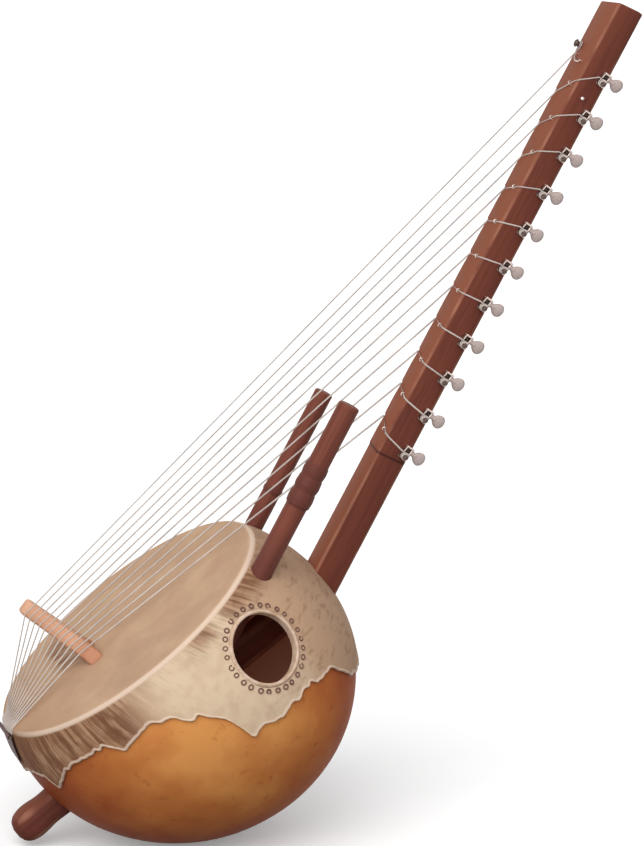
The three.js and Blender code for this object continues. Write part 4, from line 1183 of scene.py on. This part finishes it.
class OBJECT_OT_kora_neck(KoraOperator, bpy.types.Operator):
    """Two lengths of the carved neck, with the notches where the strings come in"""

    bl_idname = "object.kora_neck"
    bl_label = "Neck"

    def section(self, along, width_less, depth_less, slant):
        ring = bar_ring(along, neck_width(along) - width_less, neck_depth(along) + HEAD_PROUD - depth_less,
                        NECK_BEVEL, HEAD_PROUD / 2)
        return [(x - y / NECK_TOP_WIDTH * slant, y, z) for x, y, z in ring]

    def notch_part(self, i):
        """What is cut away where a string comes in. The wood under it is pared away to nothing."""
        along = arrival(i)
        front, side = neck_front(along), neck_width(along) / 2
        low = front - (2.6 + 0.8 * noise.noise(Vector((i * 1.3, 0, 0))))
        inwards = 21 + 5 * noise.noise(Vector((0, i * 1.1, 3)))
        pared = along - NOTCH_LENGTH
        points = [
            (along + 5, side - inwards + 6, front + 3), (along + 1, side + 4, front + 3),
            (along + 1, side + 4, low), (along + 3.5, side - inwards + 8, front - 0.4),
            (pared, side - 2, front + 3), (pared, side + 4, front + 3),
            (pared, side + 4, front - 0.2), (pared, side - 2, front - 0.05),
        ]
        return points, [(0, 1, 2, 3), (4, 7, 6, 5), (0, 4, 5, 1), (1, 5, 6, 2), (2, 6, 7, 3), (3, 7, 4, 0)]

    def build(self, sizes, finishes):
        lower = solid("carved_neck_shaft", neck_bar(), NECK)
        dress(lower, finishes["wood"], nodes=["neck_shaft"])

        crown = NECK_LENGTH - TOP_CROWN
        rings, stations = [], 60
        for i, share in enumerate(shares(stations)):
            along = lerp(NECK_SEAM + CLEARANCE, crown, share)
            taken = carved(along, 9, 0.5)
            # The slanted sawcut is reached over the last three stations
            slant = TOP_SLANT * (max(0, i - stations + 3) / 3)
            rings.append(self.section(along, taken, taken * 0.4, slant))
        for rise, inset in ((0.9, 0.6), (1.7, 2), (TOP_CROWN, TOP_CROWN * 2.4)):
            rings.append(self.section(crown + rise, inset, inset, TOP_SLANT))
        upper = solid("carved_neck_head", loft(rings), NECK)
        notches = [solid(f"notch_cutter_{i}", self.notch_part(i), NECK) for i in range(1, STRING_COUNT)]
        cut_away(upper, notches, 32)
        dress(upper, finishes["wood"], nodes=["neck_head"])


class OBJECT_OT_kora_posts(KoraOperator, bpy.types.Operator):
    """Two turned hand posts and the bar inside the gourd that they pass through"""

    bl_idname = "object.kora_posts"
    bl_label = "Hand posts"

    def build(self, sizes, finishes):
        for name, post, finish, slot in (
            ("near_hand_post", NEAR_POST, "near_post", "post_wood"),
            ("far_hand_post", FAR_POST, "far_post", "wood"),
        ):
            turned = solid(f"turned_{name}", post_part(post), NECK @ shift(*post["place"]), 60)
            dress(turned, finishes[finish], nodes=[name])
        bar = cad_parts["crossbar"]
        bar.data.materials.clear()
        bar.data.materials.append(finishes["wood"])


class OBJECT_OT_kora_tail(KoraOperator, bpy.types.Operator):
    """Spike with its rounded stub, and the rod and strap that the strings are tied to"""

    bl_idname = "object.kora_tail"
    bl_label = "Tail"

    def strap_part(self):
        """The strap is wrapped over the rod and runs down the skin. Its edges are rounded over."""
        line = []
        for share in shares(14):
            angle = ROD_ELEVATION + math.radians(lerp(80, -40, share))
            way = Vector((-math.cos(angle), 0, math.sin(angle)))
            line.append((ROD_PLACE + way * (ROD_RADIUS + CLEARANCE), way))
        fold = ROD_RADIUS * 2 / HIDE_RADIUS
        for i in range(17):
            elevation = ROD_ELEVATION - fold - STRAP_LENGTH / HIDE_RADIUS * i / 16
            spot = tail_point(on_gourd(elevation, HIDE_THICKNESS + CLEARANCE * 2), 0)
            raised = tail_point(on_gourd(elevation, HIDE_THICKNESS + CLEARANCE * 2 + STRAP_THICKNESS), 0)
            line.append((spot, (raised - spot).normalized()))
        edge, rings = [(0, 0.5), (0.5, 0), (0.75, 0.15), (1, 0.8)], []
        for i, (spot, way) in enumerate(line):
            half = STRAP_WIDTH / 2 - 0.7 * (1 + noise.noise(Vector((i * 0.4, 2, 2))))
            section = [(rise, half - inset) for rise, inset in edge]
            section += [(1, (half - 0.8) * (1 - j / 6)) for j in range(1, 12)]
            section += [(rise, inset - half) for rise, inset in reversed(edge)]
            rings.append([spot + way * STRAP_THICKNESS * rise + Vector((0, y, 0)) for rise, y in section])
        return loft(rings)

    def build(self, sizes, finishes):
        spike = solid("carved_tail_spike", spike_bar(), FACE)
        cut_away(spike, [solid("neck_cutter", neck_bar(CLEARANCE), NECK)])
        dress(spike, finishes["wood"], nodes=["tail_spike"])

        half = ROD_LENGTH / 2
        profile = [(0, -half)]
        for share in shares(5):
            angle = share * math.pi / 2
            profile.append((ROD_RADIUS * math.sin(angle), -half + ROD_RADIUS / 2 * (1 - math.cos(angle))))
        profile += [(radius, -height) for radius, height in reversed(profile)]
        rod = solid("forged_tail_rod", revolve(profile, 28, "Y"), FACE @ shift(*ROD_PLACE))
        dress(rod, finishes["steel"], nodes=["tail_rod"])

        strap = solid("wrapped_tail_strap", self.strap_part(), FACE)
        dress(strap, finishes["leather"], nodes=["tail_strap"])


class OBJECT_OT_kora_bridge(KoraOperator, bpy.types.Operator):
    """Bridge: an upright plank on two feet, rounded by hand"""

    bl_idname = "object.kora_bridge"
    bl_label = "Bridge"

    def outline(self):
        """Its outline across and up, from one foot round to the other."""
        under = -30

        def curve(a, b, c):
            return [
                Vector(a) * (1 - t) ** 2 + Vector(b) * 2 * t * (1 - t) + Vector(c) * t**2 for t in shares(10)[1:]
            ]

        top, waist, foot, arch = BRIDGE_TOP / 2, BRIDGE_WAIST / 2, BRIDGE_FOOT / 2, BRIDGE_ARCH / 2
        low, shoulder, rise = BRIDGE_FOOT_HEIGHT, BRIDGE_HEIGHT - BRIDGE_CORNER, BRIDGE_ARCH_HEIGHT
        side = [Vector((arch, under)), Vector((foot, under)), Vector((foot, 0))]
        side += curve((foot, 0), (foot, low / 2), (waist, low))
        side += [Vector((lerp(waist, top, share), lerp(low, shoulder, share))) for share in shares(12)[1:]]
        side += curve((top, shoulder), (top, BRIDGE_HEIGHT), (top - BRIDGE_CORNER, BRIDGE_HEIGHT))
        other = [Vector((-point.x, point.y)) for point in reversed(side)]
        underneath = [Vector((-arch, 0)), *curve((-arch, 0), (-arch, rise), (0, rise))]
        return side + other + underneath + curve((0, rise), (arch, rise), (arch, 0))

    def build(self, sizes, finishes):
        half = BRIDGE_THICKNESS / 2
        plank = solid("carved_bridge", loft([[(x, *point) for point in self.outline()] for x in (-half, half)]))
        rounded(plank, BRIDGE_ROUND, 6, 60)
        plank.matrix_world = FACE @ shift(-BRIDGE_ALONG, 0, 0) @ Matrix.Rotation(-BRIDGE_LEAN, 4, "Y")
        below_skin = box_part((-150, -100, -100), (50, 100, CLEARANCE))
        cut_away(plank, [solid("under_cutter", below_skin, FACE)], 45)
        dress(plank, finishes["bridge"], nodes=["bridge"])


class OBJECT_OT_kora_strings(KoraOperator, bpy.types.Operator):
    """The strings, each one unbroken line from the tail rod to its turns, and the anchor of the highest one"""

    bl_idname = "object.kora_strings"
    bl_label = "Strings"

    def build(self, sizes, finishes):
        for i in range(STRING_COUNT):
            number = f"{i + 1:02d}"
            part = tube(string_route(i, 28), string_diameter(i) / 2 + STRING_FRAY, 10)
            line = solid(f"nylon_string_{number}", part, FACE, 60)
            # Clear nylon lets the light by
            line.visible_shadow = False
            dress(line, finishes["nylon"], nodes=[f"string_{number}"])

        head, neck_height = ANCHOR_HEAD_RADIUS, ANCHOR_HEIGHT - ANCHOR_RADIUS
        profile = [
            (0, 0), (ANCHOR_RADIUS, 0), (ANCHOR_RADIUS, neck_height - 0.4), (ANCHOR_RADIUS + 0.4, neck_height),
            (head - 0.3, neck_height), (head, neck_height + 0.3),
            *dome(head, neck_height + 0.3, ANCHOR_HEIGHT - neck_height - 0.3, 7),
        ]
        along = ANCHORED_ARRIVAL + head * 2
        place = NECK @ shift(along, ANCHOR_SIDE, neck_front(along) + CLEARANCE)
        dress(solid("turned_string_anchor", revolve(profile, 32), place), finishes["steel"],
              nodes=["string_anchor"])


class OBJECT_OT_kora_machine_heads(KoraOperator, bpy.types.Operator):
    """Machine heads: stamped frame with its screws, worm shaft, button, wheel and post"""

    bl_idname = "object.kora_machine_heads"
    bl_label = "Machine heads"

    def frame_mesh(self):
        """The stamped frame's shape is the CAD's, with its edges broken."""
        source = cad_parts["head_frame_01"]
        made = bmesh.new()
        made.from_mesh(source.data)
        made.transform(head_frame(0).inverted() @ source.matrix_world)
        bmesh.ops.remove_doubles(made, verts=made.verts, dist=MM / 100)
        bmesh.ops.dissolve_limit(made, angle_limit=math.radians(2), verts=made.verts, edges=made.edges)
        mesh = bpy.data.meshes.new("stamped_frame")
        made.to_mesh(mesh)
        made.free()
        stamped = rounded(new_object("stamped_frame", mesh), BROKEN_EDGE, 2, 35)
        mesh = smoothed(stamped.data)
        bpy.data.objects.remove(stamped)
        return mesh

    def screw_part(self, x, y, radius, height, level=PLATE_TOP):
        """A domed head, which stands on the plate."""
        profile = [(0, level), (radius, level), (radius, level + height * 0.3)]
        profile += dome(radius, level + height * 0.3, height * 0.7, 5)
        return moved(revolve(profile, 20), Matrix.Translation((x, y, 0)))

    def rail_part(self):
        """The plate's long side, folded up beside the worm and held down by three rivets with domed heads."""
        low, high = (-3.6, WORM_RADIUS + CLEARANCE, PLATE_TOP), (7.2, WORM_RADIUS + 2.3, WORM_LEVEL + 1)
        across = (low[1] + high[1]) / 2
        rivets = [self.screw_part(along, across, 1.05, 1.1, high[2]) for along in (-2.3, 0.2, 2.7)]
        return merged(box_part(low, high), *rivets)

    def worm_part(self):
        """The shaft with a thread whose crest goes round once for each tooth of the wheel."""
        lead = math.pi * WHEEL_MODULE
        half = THREAD_TURNS * lead / 2
        root = WORM_PITCH_RADIUS - THREAD_ROOT
        end = half + WORM_GAP / 2
        front = -EAR_PLACE - EAR_THICKNESS * 1.5
        stations = [(front, 0.7), (front + 0.4, 1), (-end, 1)]
        stations += [(lerp(-half, half, share), None) for share in shares(56)]
        stations += [(end, 1), (BUTTON_START, 1), (BUTTON_START + 2, 1)]
        rings = []
        for along, share in stations:
            ring = []
            for angle in angles(24):
                if share is None:
                    apart = (angle / math.tau - along / lead - 0.5) % 1
                    apart = min(apart, 1 - apart)
                    crest = min(1, max(0, (3 / 16 - apart) * 8))
                    fade = min(1, (half - abs(along)) / (lead / 8))
                    radius = root + (WORM_RADIUS - root) * crest * fade
                else:
                    radius = SHAFT_RADIUS * share
                ring.append((along, radius * math.cos(angle), radius * math.sin(angle) + WORM_LEVEL))
            rings.append(ring)
        return loft(rings)

    def button_part(self):
        """A flattened pearl, a little waisted where it meets the shaft."""
        rings = []
        for step in shares(26):
            place = math.sin(step * math.tau / 4)
            width, thickness = (min(1, share) for share in eased(BUTTON_SHARES, min(place, 0.999)))
            close = (1 - (max(0, place - BUTTON_END) / (1 - BUTTON_END)) ** 2) ** 0.5
            w, t = max(width * BUTTON_WIDTH / 2 * close, 0.4), max(thickness * BUTTON_THICKNESS / 2 * close, 0.3)
            along = BUTTON_START + place * BUTTON_LENGTH
            rings.append([(along, w * math.cos(angle), t * math.sin(angle) + WORM_LEVEL) for angle in angles(36)])
        return loft(rings)

    def collar_part(self):
        """The button's moulded neck, which narrows to the ear and hides the shaft."""
        start, end = EAR_PLACE + EAR_THICKNESS + CLEARANCE, BUTTON_START + BUTTON_LENGTH * COLLAR_REACH
        profile = [(0, start), (COLLAR_RADII[0], start)]
        profile += [(lerp(*COLLAR_RADII, share**1.3), lerp(start, end, share)) for share in shares(8)[1:]]
        return moved(revolve(profile + [(0, end)], 28, "X"), Matrix.Translation((0, 0, WORM_LEVEL)))

    def wheel_part(self):
        """The wheel, whose teeth are turned with the worm's lead."""
        lead_angle = math.atan2(math.pi * WHEEL_MODULE, WORM_PITCH_RADIUS * math.tau)
        twist = WHEEL_FACE / 2 * math.tan(lead_angle) / WHEEL_RADIUS
        root, tip = WHEEL_RADIUS - TOOTH_ROOT, WHEEL_RADIUS + TOOTH_RISE
        middle, waist = (root + tip) / 2, (TOOTH_BASE + TOOTH_TIP) / 2 * 1.05
        flank = [(root, TOOTH_BASE), (middle, waist), (tip - 0.12, TOOTH_TIP), (tip, TOOTH_TIP / 2)]
        tooth = [(radius, -width) for radius, width in flank] + flank[::-1]
        rings = []
        for share, taken in ((-1, 0.25), (-0.85, 0), (0, 0), (0.85, 0), (1, 0.25)):
            ring = []
            for k in range(WHEEL_TEETH):
                centre = math.pi / 2 + (k + 0.5) / WHEEL_TEETH * math.tau - twist * share
                for radius, width in tooth:
                    angle, reach = centre + width / 2 / radius, radius - taken
                    ring.append((reach * math.cos(angle), reach * math.sin(angle),
                                 WORM_LEVEL + WHEEL_FACE / 2 * share))
            rings.append(ring)
        return loft(rings)

    def wheel_mesh(self):
        """The wheel on its post, whose head has a slot."""
        shoulder, top = PLATE_TOP + CLEARANCE, POST_TOP + POST_HEAD_HEIGHT
        post = solid("post", revolve([
            (0, CLEARANCE * 2), (JOURNAL_RADIUS, CLEARANCE * 2), (JOURNAL_RADIUS, shoulder),
            (POST_RADIUS, shoulder), (POST_RADIUS, POST_TOP), (POST_HEAD_RADIUS - 0.2, POST_TOP),
            (POST_HEAD_RADIUS, POST_TOP + 0.2), (POST_HEAD_RADIUS, POST_TOP + POST_HEAD_HEIGHT / 2),
            (POST_HEAD_RADIUS - 0.4, top - 0.2), (POST_RADIUS, top), (0, top),
        ], 28))
        slot = box_part((-5, -0.4, POST_TOP + POST_HEAD_HEIGHT * 0.45), (5, 0.4, POST_TOP + POST_HEAD_HEIGHT * 2))
        cut_away(post, [solid("slot_cutter", slot)])
        made = bmesh.new()
        made.from_mesh(post.data)
        made.from_mesh(new_mesh("wheel", self.wheel_part()))
        mesh = bpy.data.meshes.new("cut_wheel_and_post")
        made.to_mesh(mesh)
        made.free()
        bpy.data.objects.remove(post)
        return smoothed(mesh, 35)

    def build(self, sizes, finishes):
        stamped, worm = self.frame_mesh(), new_mesh("cut_worm", self.worm_part(), 50)
        button, wheel = new_mesh("moulded_button", self.button_part(), 60), self.wheel_mesh()
        collar = new_mesh("button_collar", self.collar_part(), 60)
        screws = new_mesh("plate_screws", self.screw_part(6.3, -11, 1.2, 1))
        rail = new_mesh("folded_rail", self.rail_part())
        for k in range(HEAD_COUNT):
            number, place = f"{k + 1:02d}", head_frame(k)
            knob, knob_node = f"knob_{number}", [f"tuning_knob_{number}"]
            for name, mesh, finish, slot, body, nodes in (
                ("stamped_frame", stamped, "stamped", "nickel", INSTRUMENT, [f"head_frame_{number}"]),
                ("plate_screws", screws, "nickel", "nickel", INSTRUMENT, []),
                ("folded_rail", rail, "nickel", "nickel", INSTRUMENT, []),
                ("cut_worm", worm, "steel", "steel", knob, knob_node),
                ("moulded_button", button, "button", "button", knob, knob_node),
                ("button_collar", collar, "button", "button", knob, []),
                ("cut_wheel", wheel, "steel", "steel", f"wheel_{number}", [f"wheel_post_{number}"]),
            ):
                # A wheel's mesh is made about its own axis
                where = place @ shift(0, -WHEEL_OFFSET, 0) if mesh == wheel else place
                dress(new_object(f"{name}_{number}", mesh.copy(), where), finishes[finish], body, nodes)


class OBJECT_OT_kora_fittings(KoraOperator, bpy.types.Operator):
    """Wire staples that guide the strings over the neck, and the round-headed pin between two heads"""

    bl_idname = "object.kora_fittings"
    bl_label = "Neck fittings"

    def staple_part(self, middle, way, width, height, wire):
        """A bent wire whose legs stand in the wood on both sides of a string that runs along way."""
        across, leg = Vector((0, 0, 1)).cross(way).normalized(), Vector((0, 0, 2))
        left, right = middle - across * width / 2, middle + across * width / 2
        points = [left - leg, left]
        for share in shares(8):
            angle = math.pi - share * math.pi
            rise = height - width / 2 + width / 2 * math.sin(angle)
            points.append(middle + across * (width / 2) * math.cos(angle) + Vector((0, 0, rise)))
        return tube([*points, right, right - leg], wire / 2, 8)

    def build(self, sizes, finishes):
        wire = sizes.wire_thickness / MM
        to_neck = NECK.inverted() @ FACE
        parts = []
        for i in range(1, STRING_COUNT):
            start, over = (in_millimetres(to_neck, point) for point in string_route(i, 8)[8:10])
            middle = start.lerp(over, 0.78)
            middle.z = neck_front(middle.x)
            parts.append(self.staple_part(middle, (over - start).normalized(), 4.4, 4.6, wire))
        along = ANCHORED_ARRIVAL - 6
        bracket = [(3, -14, -2), (3, -14, 3.2), (0, -12, 4), (-2, -2, 4.2), (1, 8, 4.2), (5, 11, 3.5), (7, 11, -2)]
        parts.append(tube([(along + x, y, neck_front(along) + z) for x, y, z in bracket], wire * 0.75, 8))
        profile = [(0, -4), (0.9, -4), (0.9, 3)]
        for share in shares(8):
            angle = -math.pi / 3 + share * (math.pi / 2 + math.pi / 3)
            profile.append((2.4 * math.cos(angle), 4.4 + 2 * math.sin(angle)))
        turn = Matrix.Translation((PIN_ALONG, -neck_width(PIN_ALONG) / 2, 3)) @ Matrix.Rotation(math.pi / 2, 4, "X")
        parts.append(moved(revolve(profile + [(0, 6.4)], 20), turn))
        dress(solid("neck_staples", merged(*parts), NECK), finishes["nickel"])


def seen_directly(tree):
    """1 for the rays that show the background: the camera's, and those that metal and glass pass on."""
    rays = [add(tree, "LightPath", output=f"Is {kind} Ray") for kind in ("Camera", "Glossy", "Transmission")]
    seen = add(tree, "Math", rays[:2], operation="MAXIMUM")
    return add(tree, "Math", (seen, rays[2]), operation="MAXIMUM")


class OBJECT_OT_kora_stage(KoraOperator, bpy.types.Operator):
    """Plain pale floor, soft light from the upper left, and the camera"""

    bl_idname = "object.kora_stage"
    bl_label = "Stage"

    def make_floor(self, colours):
        """Paper that the camera sees as plain white, and that gives little light back to the object."""
        material, node = started("plain_paper")
        seen = seen_directly(material.node_tree)
        finished(material, Roughness=0.95, IOR=1.1, Emission_Color=colours.floor,
                 Base_Color=coated(node, colours.floor_shade, (seen, colours.floor)),
                 Emission_Strength=node("MapRange", (seen, 0, 1, 0, 0.22)))
        reach, level = 60000, -0.6
        corners = [(-reach, -reach, level), (reach, -reach, level), (reach, reach, level), (-reach, reach, level)]
        floor = solid("floor", (corners, [(0, 1, 2, 3)]))
        floor.data.materials.append(material)

    def make_light(self, scene):
        scene.world = world = bpy.data.worlds.new("studio")
        world.use_nodes = True
        sky = world.node_tree
        sky.nodes.clear()
        strength = add(sky, "MapRange", (seen_directly(sky), 0, 1, 0.5, 1.0))
        add(sky, "OutputWorld", {"Surface": add(sky, "Background", (WHITE, strength))})
        for name, way, energy, angle in (
            ("key_light", (-0.47, -0.8, 0.72), 2.1, 55),
            ("fill_light", (0.5, -0.9, 0.35), 0.2, 60),
        ):
            lamp = bpy.data.lights.new(name, "SUN")
            lamp.energy, lamp.angle = energy, math.radians(angle)
            new_object(name, lamp, Vector(way).to_track_quat("Z", "Y").to_matrix().to_4x4())

    def make_camera(self, scene):
        """The photograph's view: 12 degrees round to the tail side, 15 degrees up."""
        azimuth, elevation = math.radians(-12), math.radians(15.1)
        level = math.cos(elevation)
        back = Vector((math.sin(azimuth) * level, -math.cos(azimuth) * level, math.sin(elevation)))
        aim, distance, height = Vector((0.0049, 0.013, 0.5034)), 20, 1.0184
        lens = bpy.data.cameras.new("photo_view")
        lens.sensor_width = 36
        lens.lens = lens.sensor_width * distance / height
        lens.clip_start, lens.clip_end = 0.1, 200
        turn = back.to_track_quat("Z", "Y").to_matrix().to_4x4()
        scene.camera = new_object("photo_view", lens, Matrix.Translation(aim + back * distance) @ turn)

    def execute(self, context):
        self.make_floor(context.scene.kora_colours)
        self.make_light(context.scene)
        self.make_camera(context.scene)
        context.scene.view_settings.view_transform = "Standard"
        return {"FINISHED"}


OPERATORS = (
    OBJECT_OT_kora_stage,
    OBJECT_OT_kora_gourd,
    OBJECT_OT_kora_hide,
    OBJECT_OT_kora_sound_hole,
    OBJECT_OT_kora_neck,
    OBJECT_OT_kora_posts,
    OBJECT_OT_kora_tail,
    OBJECT_OT_kora_bridge,
    OBJECT_OT_kora_strings,
    OBJECT_OT_kora_machine_heads,
    OBJECT_OT_kora_fittings,
)


class VIEW3D_PT_kora(bpy.types.Panel):
    """Lists the kora's pieces, sizes and colours"""

    bl_label = "Kora"
    bl_idname = "VIEW3D_PT_kora"
    bl_space_type = "VIEW_3D"
    bl_region_type = "UI"
    bl_category = "Kora"

    def draw(self, context):
        for operator in OPERATORS:
            self.layout.operator(operator.bl_idname)
        for group in (context.scene.kora_sizes, context.scene.kora_colours):
            column = self.layout.column()
            for name in group.__annotations__:
                column.prop(group, name)


CLASSES = (KoraSizes, KoraColours, *OPERATORS, VIEW3D_PT_kora)


def register():
    for cls in CLASSES:
        bpy.utils.register_class(cls)
    bpy.types.Scene.kora_sizes = PointerProperty(type=KoraSizes)
    bpy.types.Scene.kora_colours = PointerProperty(type=KoraColours)


def unregister():
    del bpy.types.Scene.kora_colours
    del bpy.types.Scene.kora_sizes
    for cls in reversed(CLASSES):
        bpy.utils.unregister_class(cls)


def main():
    register()
    for operator in OPERATORS:
        group, name = operator.bl_idname.split(".")
        getattr(getattr(bpy.ops, group), name)()


if __name__ == "__main__":
    main()
